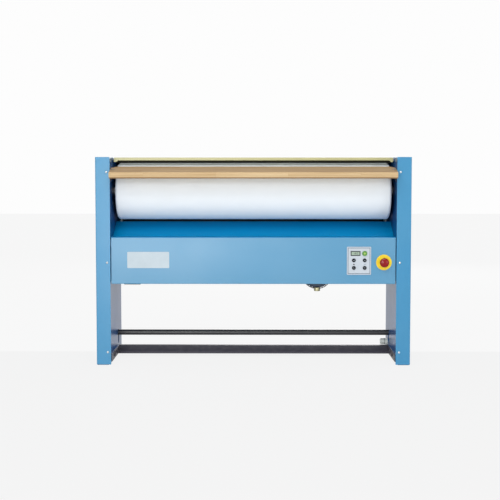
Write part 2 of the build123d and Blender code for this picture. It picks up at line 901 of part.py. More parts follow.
def sprocket(teeth, centre, bore_radius, hub_radius, windows):
    """A chain wheel in the chain's lane, with a hub on its inner side."""
    pitch_radius = chain_pitch / 2 / sin(pi / teeth)
    root_radius = pitch_radius - chain_roller_radius
    tooth_height = 1.6 * chain_roller_radius
    with BuildPart() as wheel:
        with BuildSketch(Plane.YZ.offset(chain_lane - sprocket_thickness / 2)):
            with Locations(centre):
                RegularPolygon(root_radius, teeth)
                with PolarLocations(root_radius - gap, teeth):
                    Trapezoid(
                        chain_pitch * 0.55,
                        tooth_height,
                        68,
                        rotation=-90,
                        align=(Align.CENTER, Align.MIN),
                    )
                if windows:
                    with PolarLocations((pitch_radius + hub_radius) / 2, windows):
                        Circle((pitch_radius - hub_radius) * 0.3, mode=Mode.SUBTRACT)
        extrude(amount=sprocket_thickness)
        hub_start = chain_lane - sprocket_thickness * 1.5
        cross_bar(hub_radius, hub_start, chain_lane, *centre)
        cross_bar(bore_radius, hub_start - 1, chain_lane + sprocket_thickness, *centre, mode=Mode.SUBTRACT)
    return wheel.part


roller_centre = (roller_y, roller_z)
drive_centre = (drive_y, drive_z)
write(sprocket(roller_teeth, roller_centre, journal_radius, 2 * journal_radius, 6), "roller_sprocket")
write(sprocket(drive_teeth, drive_centre, drive_shaft_radius, 1.6 * drive_shaft_radius, 0), "drive_sprocket")

# ================================================================ bearings
bearing_flange = 2.3 * journal_radius
with BuildPart() as right_bearing:
    with BuildSketch(Plane.YZ.offset(half_gap + plate)):
        with Locations(roller_centre):
            RectangleRounded(2 * bearing_flange, 2 * bearing_flange, journal_radius)
    extrude(amount=2 * plate)
    cross_bar(
        1.7 * journal_radius,
        half_gap + plate,
        half_gap + plate + 3 * plate,
        *roller_centre,
    )
    with BuildSketch(Plane.YZ.offset(half_gap + 3 * plate)):
        with Locations(roller_centre):
            with GridLocations(1.45 * bearing_flange, 1.45 * bearing_flange, 2, 2):
                RegularPolygon(bolt_head_radius, 6)
    extrude(amount=bolt_head_height)
    cross_bar(
        journal_radius + fit,
        half_gap,
        half_gap + plate + 4 * plate,
        *roller_centre,
        mode=Mode.SUBTRACT,
    )
write(right_bearing.part, "right_bearing")

with BuildPart() as left_bearing:
    mirror(right_bearing.part, about=Plane.YZ)
write(left_bearing.part, "left_bearing")

with BuildPart() as drive_bearing:
    with BuildSketch(Plane.YZ.offset(half_gap + plate)):
        link_outline(
            (drive_y, drive_z - 3 * drive_shaft_radius),
            drive_shaft_radius,
            (drive_y, drive_z + 3 * drive_shaft_radius),
            drive_shaft_radius,
        )
        with Locations(drive_centre):
            Circle(2.1 * drive_shaft_radius)
    extrude(amount=2 * plate)
    cross_bar(drive_shaft_radius + fit, half_gap, half_gap + 4 * plate, *drive_centre, mode=Mode.SUBTRACT)
write(drive_bearing.part, "drive_bearing")

# ================================================================ drive chain
chain_pins_apart = 9 * chain_pitch


def pitch_radius_of(teeth):
    """The radius on which the chain's rollers sit."""
    return chain_pitch / 2 / sin(pi / teeth)


with BuildPart() as drive_chain:
    half_height = chain_plate_height / 2
    plate_offset = sprocket_thickness / 2 + gap
    for lane in (chain_lane - plate_offset - chain_plate_thickness, chain_lane + plate_offset):
        with BuildSketch(Plane.YZ.offset(lane)):
            link_outline(
                roller_centre,
                pitch_radius_of(roller_teeth) + half_height,
                drive_centre,
                pitch_radius_of(drive_teeth) + half_height,
            )
            with BuildSketch(mode=Mode.PRIVATE) as loop_inside:
                link_outline(
                    roller_centre,
                    pitch_radius_of(roller_teeth) - half_height,
                    drive_centre,
                    pitch_radius_of(drive_teeth) - half_height,
                )
            add(loop_inside.sketch, mode=Mode.SUBTRACT)
        extrude(amount=chain_plate_thickness)
    down = Vector(drive_y - roller_y, drive_z - roller_z)
    lean = degrees(atan2(down.Y, down.X))
    step_in = (pitch_radius_of(roller_teeth) - pitch_radius_of(drive_teeth)) / down.length
    straight = down.length * (1 - step_in**2) ** 0.5
    pin_span = chain_plate_thickness + plate_offset
    for side in (-1, 1):
        tilt = side * degrees(atan2((1 - step_in**2) ** 0.5, step_in))
        outward = Vector(1, 0).rotate(Axis.Z, lean + tilt)
        along = outward.rotate(Axis.Z, -side * 90)
        start = Vector(*roller_centre) + outward * pitch_radius_of(roller_teeth)
        for index in range(1, int(straight / chain_pins_apart) + 1):
            pin = start + along * (index * chain_pins_apart - chain_pitch)
            cross_bar(chain_roller_radius, chain_lane - pin_span, chain_lane + pin_span, pin.X, pin.Y)
write(drive_chain.part, "drive_chain")

# ================================================================ heated shoe
roller_from_pivot = (roller_y - shoe_pivot_y, roller_z - shoe_pivot_z)


def shoe_plane(x):
    """The plane of a shoe section at a station, turned open about the shoe's pivot."""
    turn = radians(-shoe_opening)
    return Plane(
        origin=(x, shoe_pivot_y, shoe_pivot_z),
        x_dir=(0, cos(turn), sin(turn)),
        z_dir=(1, 0, 0),
    )


def ring_sector(inner_radius, outer_radius, start_angle, sweep):
    """A part of a ring round the roller's centre, in the shoe's own section plane."""
    with BuildSketch(mode=Mode.PRIVATE) as sector:
        with BuildLine():
            inner = CenterArc(roller_from_pivot, inner_radius, start_angle, sweep)
            outer = CenterArc(roller_from_pivot, outer_radius, start_angle, sweep)
            Line(inner @ 0, outer @ 0)
            Line(inner @ 1, outer @ 1)
        make_face()
    add(sector.sketch)


def round_the_roller(radius, angle):
    """A point at an angle round the roller's centre, in the shoe's own section plane."""
    return (
        roller_from_pivot[0] + radius * cos(radians(angle)),
        roller_from_pivot[1] + radius * sin(radians(angle)),
    )


heater_step = (shoe_wrap - 40) / (heater_count - 1)
heater_centres = [
    round_the_roller(shoe_outer + heater_seat * heater_radius, shoe_end_angle + 20 + index * heater_step)
    for index in range(heater_count)
]

with BuildPart() as heated_shoe:
    with BuildSketch(shoe_plane(-shoe_half)) as shoe_section:
        ring_sector(shoe_inner, shoe_outer, shoe_end_angle, shoe_wrap)
        fillet(shoe_section.vertices(), shoe_thickness * 0.4)
        with Locations(*heater_centres):
            Circle(heater_radius + fit, mode=Mode.SUBTRACT)
    extrude(amount=2 * shoe_half)
write(heated_shoe.part, "heated_shoe")

with BuildPart() as shoe_heaters:
    with BuildSketch(shoe_plane(-shoe_half - shoe_arm_thickness / 2)):
        with Locations(*heater_centres):
            Circle(heater_radius)
    extrude(amount=2 * shoe_half + shoe_arm_thickness)
write(shoe_heaters.part, "shoe_heaters")

jacket_half = shoe_half - shoe_arm_thickness
jacket_outer = shoe_outer + jacket_space
web_angle = degrees(jacket_sheet / jacket_outer)
with BuildPart() as shoe_jacket:
    with BuildSketch(shoe_plane(-jacket_half)):
        jacket_start = shoe_end_angle + jacket_bottom_inset
        jacket_wrap = shoe_wrap - jacket_bottom_inset - jacket_top_inset
        ring_sector(jacket_outer, jacket_outer + jacket_sheet, jacket_start, jacket_wrap)
        ring_sector(shoe_outer, jacket_outer + jacket_sheet, jacket_start, web_angle)
        ring_sector(shoe_outer, jacket_outer + jacket_sheet, jacket_start + jacket_wrap - web_angle, web_angle)
    extrude(amount=2 * jacket_half)
write(shoe_jacket.part, "shoe_jacket")

arm_start = shoe_end_angle + 2
with BuildPart() as shoe_arms:
    with BuildSketch(shoe_plane(shoe_half)):
        ring_sector(shoe_inner, shoe_outer + heater_radius, arm_start, shoe_wrap / 2)
        with BuildSketch(mode=Mode.PRIVATE) as web:
            Circle(shoe_boss_radius)
            with Locations(
                round_the_roller(shoe_outer, arm_start + 8),
                round_the_roller(shoe_outer, arm_start + shoe_wrap * 0.32),
            ):
                Circle(shoe_thickness / 2)
            make_hull()
            with Locations(roller_from_pivot):
                Circle(shoe_inner, mode=Mode.SUBTRACT)
        add(web.sketch)
        with Locations(*heater_centres):
            Circle(heater_radius + gap, mode=Mode.SUBTRACT)
    extrude(amount=shoe_arm_thickness)
    cross_bar(
        shoe_pin_radius,
        shoe_half + shoe_arm_thickness,
        arm_lane + arm_thickness,
        shoe_pivot_y,
        shoe_pivot_z,
    )
    mirror(about=Plane.YZ)
write(shoe_arms.part, "shoe_arms")

with BuildPart() as shoe_levers:
    with BuildSketch(Plane.YZ.offset(arm_lane)):
        link_outline(
            (shoe_pivot_y, shoe_pivot_z),
            shoe_boss_radius,
            (rod_y, shoe_pivot_z),
            2 * pedal_eye_radius,
        )
        with Locations((shoe_pivot_y, shoe_pivot_z)):
            Circle(shoe_pin_radius + fit, mode=Mode.SUBTRACT)
    extrude(amount=arm_thickness)
    cross_bar(pedal_eye_radius, arm_lane + arm_thickness, rod_lane + arm_thickness + 1, rod_y, shoe_pivot_z)
    mirror(about=Plane.YZ)
write(shoe_levers.part, "shoe_levers")

# ================================================================ finger guard
with BuildPart() as finger_guard:
    middle_y = guard_y + sheet / 2
    rear_middle_y = guard_y + guard_depth - sheet / 2
    add(
        folded_sheet(
            [
                (rear_middle_y, guard_top - guard_rear_lip),
                (rear_middle_y, guard_top - sheet / 2),
                (middle_y, guard_top - sheet / 2),
                (middle_y, guard_top - guard_lip),
            ],
            guard_half,
            sheet,
            radius=bend / 2,
        )
    )
    for side in (-1, 1):
        ear_outer = side * guard_half
        with BuildSketch(front_plane(0, guard_y + sheet, 0)):
            with BuildLine():
                Polyline(
                    (ear_outer, guard_top - bend),
                    (ear_outer, guard_top - guard_ear_height),
                    (ear_outer - side * guard_ear_width / 2, guard_top - guard_ear_height),
                    (ear_outer - side * guard_ear_width, guard_top - guard_lip),
                    (ear_outer - side * guard_ear_width, guard_top - bend),
                    close=True,
                )
            make_face()
        extrude(amount=sheet)
        cheek_x = sorted((side * (guard_half - 2 * sheet), ear_outer))
        with BuildSketch(Plane.YZ.offset(cheek_x[0])):
            with BuildLine():
                Polyline(
                    (guard_y + sheet, guard_top - sheet),
                    (guard_y + sheet, guard_top - guard_ear_height),
                    (guard_pivot_y - guard_lip, guard_top - guard_ear_height),
                    (guard_pivot_y + guard_lip, guard_pivot_z - guard_pin_radius),
                    (guard_pivot_y + guard_lip, guard_top - sheet),
                    close=True,
                )
            make_face()
            with Locations((guard_pivot_y, guard_pivot_z)):
                Circle(guard_pin_radius + fit, mode=Mode.SUBTRACT)
        extrude(amount=2 * sheet)
write(finger_guard.part, "finger_guard")

with BuildPart() as guard_pins:
    cross_bar(
        guard_pin_radius,
        guard_half - 3 * sheet,
        half_gap + plate + sheet,
        guard_pivot_y,
        guard_pivot_z,
    )
    mirror(about=Plane.YZ)
write(guard_pins.part, "guard_pins")

# ================================================================ foot pedal
with BuildPart() as pedal_bar:
    cross_bar(pedal_radius, -arm_lane, arm_lane, pedal_y, pedal_z)
    cross_bar(pedal_radius - pedal_wall, -arm_lane, arm_lane, pedal_y, pedal_z, mode=Mode.SUBTRACT)
write(pedal_bar.part, "pedal_bar")

pedal_hub_radius = 2 * pedal_pin_radius
with BuildPart() as pedal_arms:
    with BuildSketch(Plane.YZ.offset(arm_lane)):
        link_outline(
            (pedal_pivot_y, pedal_pivot_z),
            pedal_hub_radius,
            (pedal_y, pedal_z),
            pedal_radius + sheet,
        )
        with Locations((pedal_pivot_y, pedal_pivot_z)):
            Circle(pedal_pin_radius + fit, mode=Mode.SUBTRACT)
    extrude(amount=arm_thickness)
    with BuildSketch(Plane.YZ.offset(arm_lane)):
        with Locations((pedal_y, pedal_z)):
            Circle(pedal_shield_radius)
    extrude(amount=sheet)
    cross_bar(pedal_eye_radius, arm_lane + arm_thickness, rod_lane + arm_thickness + 1, rod_y, rod_bottom_z)
    mirror(about=Plane.YZ)
write(pedal_arms.part, "pedal_arms")

with BuildPart() as pedal_pins:
    cross_bar(
        pedal_pin_radius - plate / 2,
        half_gap,
        half_gap + plate,
        pedal_pivot_y,
        pedal_pivot_z,
    )
    cross_bar(
        pedal_pin_radius,
        half_gap + plate,
        rod_lane + arm_thickness / 2,
        pedal_pivot_y,
        pedal_pivot_z,
    )
    cross_bar(
        1.5 * pedal_pin_radius,
        rod_lane,
        rod_lane + arm_thickness / 2,
        pedal_pivot_y,
        pedal_pivot_z,
    )
    mirror(about=Plane.YZ)
write(pedal_pins.part, "pedal_pins")

with BuildPart() as pull_rods:
    rod_radius = rod_width * 0.75
    with BuildSketch(Plane.YZ.offset(rod_lane)):
        with Locations((rod_y, (rod_bottom_z + shoe_pivot_z) / 2)):
            Rectangle(rod_width, shoe_pivot_z - rod_bottom_z)
        with Locations((rod_y, rod_bottom_z), (rod_y, shoe_pivot_z)):
            Circle(rod_radius)
        with Locations((rod_y, rod_bottom_z)):
            Circle(pedal_eye_radius + fit, mode=Mode.SUBTRACT)
        with Locations((rod_y, shoe_pivot_z)):
            Circle(pedal_eye_radius + rod_open_clearance, mode=Mode.SUBTRACT)
    extrude(amount=arm_thickness)
    mirror(about=Plane.YZ)
write(pull_rods.part, "pull_rods")

# ================================================================ gear motor
motor_rear = motor_front + motor_body_length
motor_axis_start = Plane(origin=(motor_x, motor_rear, motor_z), x_dir=(1, 0, 0), z_dir=(0, -1, 0))
with BuildPart() as drive_motor:
    with BuildSketch(motor_axis_start):
        Circle(motor_radius)
        with PolarLocations((motor_radius + fin_radius) / 2, fin_count):
            Rectangle(fin_radius - motor_radius + sheet, fin_thickness)
    extrude(amount=motor_body_length)
    with BuildSketch(motor_axis_start.offset(motor_body_length)):
        Circle(motor_radius)
    extrude(amount=motor_bell_length)
    chamfer(drive_motor.edges().group_by(Axis.Y)[0], motor_bell_length * 0.25)
    with BuildSketch(motor_axis_start):
        RectangleRounded(2 * motor_radius, 2 * motor_radius, bend)
    extrude(amount=-motor_flange)
    terminal_y = (motor_rear - motor_body_length * 0.75, motor_rear - motor_body_length * 0.2)
    terminal_top = rail_bottom - 3 * plate
    span_box(
        (motor_x - motor_radius / 2, motor_x + motor_radius / 2),
        terminal_y,
        (motor_z + motor_radius - bend, terminal_top),
    )
write(drive_motor.part, "drive_motor")

with BuildPart() as motor_gland:
    gland_stub_y = motor_front - motor_bell_length / 2
    with BuildSketch(Plane(origin=(motor_x, gland_stub_y, motor_gland_bottom))):
        Circle(motor_gland_radius)
    extrude(amount=motor_z - motor_radius * 0.8 - motor_gland_bottom)
    chamfer(motor_gland.edges().group_by(Axis.Z)[0], sheet)
    with BuildPart(mode=Mode.PRIVATE) as bell:
        with Locations(Location((motor_x, motor_front, motor_z), (90, 0, 0))):
            Cylinder(motor_radius, 4 * motor_bell_length)
    add(bell.part, mode=Mode.SUBTRACT)
write(motor_gland.part, "motor_gland")

gearbox_y = (motor_rear + motor_flange, drive_y + gearbox_radius)
with BuildPart() as gearbox:
    cross_bar(gearbox_radius, motor_x - gearbox_width / 2, motor_x + gearbox_width / 2, drive_y, drive_z)
    with BuildSketch(motor_axis_start.offset(-motor_flange)):
        RectangleRounded(2 * motor_radius, 2 * motor_radius, bend)
    extrude(amount=-motor_flange)
    with BuildSketch(motor_axis_start.offset(-motor_flange)):
        Circle(worm_housing_radius)
    extrude(amount=-(gearbox_y[1] - gearbox_y[0]))
    span_box(
        (motor_x - gearbox_width / 2, motor_x + gearbox_width / 2),
        (drive_y - gearbox_radius * 0.8, drive_y + gearbox_radius * 0.8),
        (drive_z, rail_bottom - plate),
    )
    rib_pitch = gearbox_width / gearbox_ribs
    for index in range(gearbox_ribs):
        rib_x = motor_x + (index - (gearbox_ribs - 1) / 2) * rib_pitch
        rib_reach = gearbox_radius + plate
        span_box(
            (rib_x - sheet, rib_x + sheet),
            (drive_y - worm_housing_radius, drive_y + rib_reach),
            (motor_z - worm_housing_radius, drive_z + worm_housing_radius),
        )
    for side in (-1, 1):
        face_x = motor_x + side * gearbox_width / 2
        cross_bar(gearbox_radius * 0.62, *sorted((face_x, face_x + side * plate)), drive_y, drive_z)
    cross_bar(
        drive_shaft_radius + fit,
        motor_x,
        motor_x + gearbox_width,
        drive_y,
        drive_z,
        mode=Mode.SUBTRACT,
    )
write(gearbox.part, "gearbox")

with BuildPart() as motor_bracket:
    bracket_x = (motor_x - gearbox_width / 2, motor_x + gearbox_width / 2)
    span_box(bracket_x, (front_rail_y, rear_rail_y + rail_width), (rail_bottom - plate, rail_bottom))
    fillet(motor_bracket.edges().filter_by(Axis.Z), bend)
write(motor_bracket.part, "motor_bracket")

with BuildPart() as drive_shaft:
    cross_bar(drive_shaft_radius, motor_x + gap, journal_end, drive_y, drive_z)
    chamfer(drive_shaft.edges().group_by(Axis.X)[-1], 1.0)
write(drive_shaft.part, "drive_shaft")

# ================================================================ electrical parts
with BuildPart() as terminal_box:
    span_box(
        (terminal_box_x - terminal_box_width / 2, terminal_box_x + terminal_box_width / 2),
        (panel_back, panel_back + terminal_box_depth),
        (terminal_box_bottom, rail_bottom),
    )
    fillet(terminal_box.edges().filter_by(Axis.Y), bend)
write(terminal_box.part, "terminal_box")

gland_core = gland_radius * 0.72
with BuildPart() as cable_gland:
    with BuildSketch(Plane.YZ.offset(half_gap - plate)):
        with Locations((gland_y, gland_z)):
            RegularPolygon(gland_radius * 1.15, 6)
    extrude(amount=plate)
    cross_bar(gland_radius, half_gap - gland_length, half_gap - plate, gland_y, gland_z)
    chamfer(cable_gland.edges().group_by(Axis.X)[0], gland_radius * 0.25)
    cross_bar(gland_core, half_gap, arm_lane - 2 * gap, gland_y, gland_z)
    with BuildSketch(Plane.YZ.offset(half_gap + plate)):
        with Locations((gland_y, gland_z)):
            RegularPolygon(gland_radius, 6)
            Circle(gland_core + fit, mode=Mode.SUBTRACT)
    extrude(amount=plate)
write(cable_gland.part, "cable_gland")
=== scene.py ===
"""Flatwork ironer: the looks of the machine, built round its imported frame.

Metres, X to the operator's right, Y to the back, Z up.  The frame's own pieces get their
paint, metal and plastic, and slightly rounded edges.  The roller's cloth and felt, the
screws, the stitches, the chain, the motor's fan end and the keypad's marks are made here.
"""
import json
from math import acos, atan2, cos, hypot, pi, sin, tau

import bmesh
import bpy
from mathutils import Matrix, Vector, noise

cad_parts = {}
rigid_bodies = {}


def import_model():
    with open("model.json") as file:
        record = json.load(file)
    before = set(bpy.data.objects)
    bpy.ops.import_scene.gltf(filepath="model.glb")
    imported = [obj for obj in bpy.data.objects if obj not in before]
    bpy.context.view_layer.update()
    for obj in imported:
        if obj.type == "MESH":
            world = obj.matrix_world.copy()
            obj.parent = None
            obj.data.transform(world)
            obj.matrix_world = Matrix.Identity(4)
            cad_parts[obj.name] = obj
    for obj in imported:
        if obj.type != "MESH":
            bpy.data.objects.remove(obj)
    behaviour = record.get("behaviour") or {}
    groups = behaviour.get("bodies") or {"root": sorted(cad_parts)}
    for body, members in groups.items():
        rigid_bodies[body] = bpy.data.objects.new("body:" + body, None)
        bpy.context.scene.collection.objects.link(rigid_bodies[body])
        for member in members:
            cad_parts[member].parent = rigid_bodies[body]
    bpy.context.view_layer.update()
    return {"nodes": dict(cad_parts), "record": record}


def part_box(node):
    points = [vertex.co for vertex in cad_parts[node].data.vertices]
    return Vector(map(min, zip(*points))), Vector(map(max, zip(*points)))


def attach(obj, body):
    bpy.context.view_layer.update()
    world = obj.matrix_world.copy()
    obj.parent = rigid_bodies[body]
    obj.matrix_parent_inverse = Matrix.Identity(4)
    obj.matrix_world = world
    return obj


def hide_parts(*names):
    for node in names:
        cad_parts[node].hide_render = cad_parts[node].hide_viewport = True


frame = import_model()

MM = 0.001
nodes_of = frame["nodes"]
collection = bpy.context.scene.collection.objects


# ---------------------------------------------------------------- places taken from the frame
def middle(node):
    """The middle of a frame node's box."""
    low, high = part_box(node)
    return (low + high) / 2


def span(node):
    """The lengths of a frame node's box."""
    low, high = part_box(node)
    return high - low


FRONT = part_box("left_column_cover")[0].y
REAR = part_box("left_column_cover")[1].y
ROLLER = middle("roller_cover")
ROLLER_RADIUS = span("roller_cover").z / 2
ROLLER_HALF = span("roller_cover").x / 2
GUARD_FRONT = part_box("finger_guard")[0].y


# ---------------------------------------------------------------- colours
def tone(red, green, blue):
    """A colour given as it shows on a screen, from 0 to 255, in the renderer's own scale."""
    shares = [value / 255 for value in (red, green, blue)]
    return tuple(s / 12.92 if s <= 0.04045 else ((s + 0.055) / 1.055) ** 2.4 for s in shares) + (1.0,)


# ---------------------------------------------------------------- node helpers
def fill(tree, socket, value):
    """Links a node or a socket into a socket, or sets a plain value on it."""
    if isinstance(value, bpy.types.Node):
        value = value.outputs[0]
    if isinstance(value, bpy.types.NodeSocket):
        tree.links.new(value, socket)
    else:
        socket.default_value = value


def put(tree, kind, inputs=None, **settings):
    """Adds a node, sets what it is told, and links or fills its inputs."""
    node = tree.nodes.new(kind)
    for name, value in settings.items():
        setattr(node, name, value)
    for key, value in (inputs or {}).items():
        fill(tree, node.inputs[key], value)
    return node


def calc(tree, operation, *values):
    """A Math node."""
    return put(tree, "ShaderNodeMath", dict(enumerate(values)), operation=operation)


def times(tree, first, second):
    """A product."""
    return calc(tree, "MULTIPLY", first, second)


def plus(tree, first, second):
    """A sum."""
    return calc(tree, "ADD", first, second)


def minus(tree, first, second):
    """A difference."""
    return calc(tree, "SUBTRACT", first, second)


def split(tree, vector):
    """The three parts of a vector."""
    return put(tree, "ShaderNodeSeparateXYZ", {0: vector}).outputs


def combined(tree, x=0.0, y=0.0, z=0.0):
    """A vector from its three parts."""
    return put(tree, "ShaderNodeCombineXYZ", {0: x, 1: y, 2: z})


def mixed(tree, share, first, second):
    """A colour between two, by a share."""
    return put(tree, "ShaderNodeMix", {0: share, 6: first, 7: second}, data_type="RGBA").outputs[2]


def ranged(tree, value, low, high, to_low=0.0, to_high=1.0):
    """A value mapped from one range to another, and held there."""
    return put(tree, "ShaderNodeMapRange", {0: value, 1: low, 2: high, 3: to_low, 4: to_high}, clamp=True)


def clouds(tree, vector, size, detail):
    """Noise over a vector."""
    return put(tree, "ShaderNodeTexNoise", {"Vector": vector, "Scale": size, "Detail": detail})


def streaks(tree, vector, stretch, size, detail=3.0):
    """Noise over a vector that is scaled first, so that it runs in streaks."""
    stretched = put(tree, "ShaderNodeMapping", {"Vector": vector, "Scale": stretch})
    streaked = clouds(tree, stretched, size, detail)
    streaked.inputs["Roughness"].default_value = 0.55
    return streaked


def bumped(tree, height, depth, strength=1.0):
    """A normal that follows a height."""
    return put(tree, "ShaderNodeBump", {"Height": height, "Distance": depth, "Strength": strength})


def object_place(tree):
    """The place on the piece, in metres."""
    return put(tree, "ShaderNodeTexCoord").outputs["Object"]


def facing_parts(tree):
    """The three parts of the way that a surface faces."""
    return split(tree, put(tree, "ShaderNodeNewGeometry").outputs["Normal"])


def named_inputs(tree, inputs):
    """Gives a group its named inputs, each of the kind that holds its value."""
    for label, value in inputs.items():
        if isinstance(value, tuple):
            kind = "NodeSocketColor" if len(value) == 4 else "NodeSocketVector"
        else:
            kind = "NodeSocketInt" if isinstance(value, int) else "NodeSocketFloat"
        tree.interface.new_socket(label, in_out="INPUT", socket_type=kind).default_value = value


def shader_group(name, inputs):
    """A shader group that is to put out a surface, and what it is given."""
    tree = bpy.data.node_groups.new(name, "ShaderNodeTree")
    named_inputs(tree, inputs)
    for label, kind in (("Colour", "Color"), ("Roughness", "Float"), ("Normal", "Vector")):
        tree.interface.new_socket(label, in_out="OUTPUT", socket_type="NodeSocket" + kind)
    return tree, tree.nodes.new("NodeGroupInput").outputs


def finish_group(tree, colour, roughness, normal):
    """Links the surface that a shader group puts out."""
    end = tree.nodes.new("NodeGroupOutput")
    for label, value in (("Colour", colour), ("Roughness", roughness), ("Normal", normal)):
        fill(tree, end.inputs[label], value)
    return tree


# ---------------------------------------------------------------- shader groups
def paint_group():
    """Sprayed paint: a drift in tone, the skin's fine ripple, settled dust, and painted shade within a
    fold.
    """
    tree, given = shader_group(
        "sprayed_paint",
        {
            "Colour": (0.5, 0.5, 0.5, 1),
            "Drift Colour": (0.4, 0.4, 0.4, 1),
            "Drift Share": 0.35,
            "Drift Scale": 3.0,
            "Ripple Scale": 420.0,
            "Ripple Depth": 0.00004,
            "Roughness": 0.35,
            "Roughness Spread": 0.08,
            "Dust": 0.1,
            "Painted Shade From": 9.0,
            "Inside Colour": (0.05, 0.05, 0.05, 1),
        },
    )
    place, facing = object_place(tree), facing_parts(tree)
    drift = ranged(tree, clouds(tree, place, given["Drift Scale"], 4.0), 0.35, 0.7)
    body = mixed(tree, times(tree, drift, given["Drift Share"]), given["Colour"], given["Drift Colour"])
    specks = ranged(tree, clouds(tree, place, 38.0, 6.0), 0.4, 0.75)
    settled = times(tree, ranged(tree, facing[2], 0.5, 0.95), specks)
    dust = times(tree, settled, given["Dust"])
    dusted = mixed(tree, dust, body, tone(196, 198, 196))
    # Painted shade: faces that look forwards, behind the given depth, take a dark colour standing in for
    # shade.
    behind_shade_depth = calc(tree, "GREATER_THAN", split(tree, place)[1], given["Painted Shade From"])
    inner = times(tree, behind_shade_depth, calc(tree, "LESS_THAN", facing[1], -0.5))
    colour = mixed(tree, inner, dusted, given["Inside Colour"])
    swing = times(tree, minus(tree, clouds(tree, place, 9.0, 5.0), 0.5), given["Roughness Spread"])
    matt = times(tree, plus(tree, dust, inner), 0.5)
    rough = plus(tree, plus(tree, given["Roughness"], swing), matt)
    ripple = clouds(tree, place, given["Ripple Scale"], 2.0)
    return finish_group(tree, colour, rough, bumped(tree, ripple, given["Ripple Depth"]))


def metal_group():
    """Worked metal: fine lines along a chosen direction, and patches of duller skin."""
    tree, given = shader_group(
        "worked_metal",
        {
            "Colour": (0.6, 0.6, 0.6, 1),
            "Dull Colour": (0.4, 0.4, 0.4, 1),
            "Line Direction": (4.0, 300.0, 300.0),
            "Line Depth": 0.00003,
            "Patch Scale": 14.0,
            "Roughness": 0.3,
        },
    )
    place = object_place(tree)
    lines = streaks(tree, place, given["Line Direction"], 5.0, detail=4.0)
    dull = ranged(tree, clouds(tree, place, given["Patch Scale"], 6.0), 0.45, 0.72)
    colour = mixed(tree, times(tree, dull, 0.6), given["Colour"], given["Dull Colour"])
    roughened = plus(tree, times(tree, dull, 0.18), times(tree, lines, 0.08))
    rough = plus(tree, given["Roughness"], roughened)
    return finish_group(tree, colour, rough, bumped(tree, lines, given["Line Depth"]))


def grain_group():
    """Glued beech staves: a tone for each stave, long grain, short flecks and thin glue lines, with
    painted shade and wear on the top, painted shade along the bottom edge and a painted highlight along
    the top edge.
    """
    tree, given = shader_group(
        "beech_staves",
        {
            "Light": (0.6, 0.4, 0.2, 1),
            "Dark": (0.4, 0.25, 0.1, 1),
            "Stave Width": 0.039,
            "Stave Length": 0.31,
            "Grain Depth": 0.00005,
            "Roughness": 0.4,
            "Worn And Shaded Colour": (0.3, 0.2, 0.1, 1),
            "Worn And Shaded Share": 0.5,
            "Bottom Shade Below": 0.0,
            "Bottom Shade Colour": (0.2, 0.12, 0.06, 1),
            "Highlight Above": 9.0,
            "Highlight Colour": (0.8, 0.7, 0.5, 1),
        },
    )
    place, facing = object_place(tree), facing_parts(tree)
    axes = split(tree, place)
    row = calc(tree, "DIVIDE", axes[1], given["Stave Width"])
    row_index = calc(tree, "FLOOR", row)
    row_shift = put(tree, "ShaderNodeTexWhiteNoise", {"W": row_index}, noise_dimensions="1D")
    along = plus(tree, calc(tree, "DIVIDE", axes[0], given["Stave Length"]), row_shift)
    stave_index = combined(tree, calc(tree, "FLOOR", along), row_index)
    stave = put(tree, "ShaderNodeTexWhiteNoise", {"Vector": stave_index}, noise_dimensions="3D")
    shift = put(tree, "ShaderNodeVectorMath", {0: stave.outputs[1], "Scale": 3.0}, operation="SCALE")
    shifted = put(tree, "ShaderNodeVectorMath", {0: place, 1: shift}, operation="ADD")
    long_grain = streaks(tree, shifted, (1.3, 60.0, 60.0), 3.0, detail=5.0)
    flecks = streaks(tree, shifted, (40.0, 240.0, 240.0), 2.0, detail=2.0)
    grain_share = times(tree, ranged(tree, long_grain, 0.3, 0.75), 0.5)
    tones = plus(tree, times(tree, stave, 0.45), grain_share)
    base = mixed(tree, tones, given["Light"], given["Dark"])
    flecked = mixed(tree, ranged(tree, flecks, 0.62, 0.72, 0.0, 0.35), base, given["Dark"])
    along_stave, across_stave = [
        calc(tree, "ABSOLUTE", minus(tree, calc(tree, "FRACT", value), 0.5)) for value in (along, row)
    ]
    glued_ends = ranged(tree, along_stave, 0.4985, 0.4995)
    joint = calc(tree, "MAXIMUM", glued_ends, ranged(tree, across_stave, 0.485, 0.495))
    waves = ranged(tree, streaks(tree, place, (3.0, 30.0, 1.0), 2.0), 0.25, 0.7, 0.55, 1.0)
    # Painted shade with some wear: faces that look up turn darker, standing in for the top taking less
    # light.
    top_wear_and_shade = times(tree, times(tree, ranged(tree, facing[2], 0.6, 0.95), waves), given["Worn And Shaded Share"])
    top_worn_and_shaded = mixed(tree, top_wear_and_shade, flecked, given["Worn And Shaded Colour"])
    # Painted shade: a dark band along the front face's bottom edge, standing in for the shade under the
    # board.
    bottom_edge_shade = ranged(tree, minus(tree, given["Bottom Shade Below"], axes[2]), -2.5 * MM, 0.5 * MM, 0.0, 0.8)
    bottom_edge_shaded = mixed(tree, bottom_edge_shade, top_worn_and_shaded, given["Bottom Shade Colour"])
    # Painted highlight: a light band along the top front edge, where light catches the edge.
    top_edge_band = ranged(tree, minus(tree, axes[2], given["Highlight Above"]), -3.5 * MM, 0.0, 0.0, 0.7)
    painted_edge_highlight = times(tree, top_edge_band, ranged(tree, facing[2], 0.5, 0.8, 1.0, 0.0))
    edge_highlighted = mixed(tree, painted_edge_highlight, bottom_edge_shaded, given["Highlight Colour"])
    colour = mixed(tree, times(tree, joint, 0.35), edge_highlighted, tone(120, 84, 52))
    rough = plus(tree, given["Roughness"], times(tree, long_grain, 0.15))
    height = minus(tree, long_grain, times(tree, flecks, 0.5))
    return finish_group(tree, colour, rough, bumped(tree, height, given["Grain Depth"]))


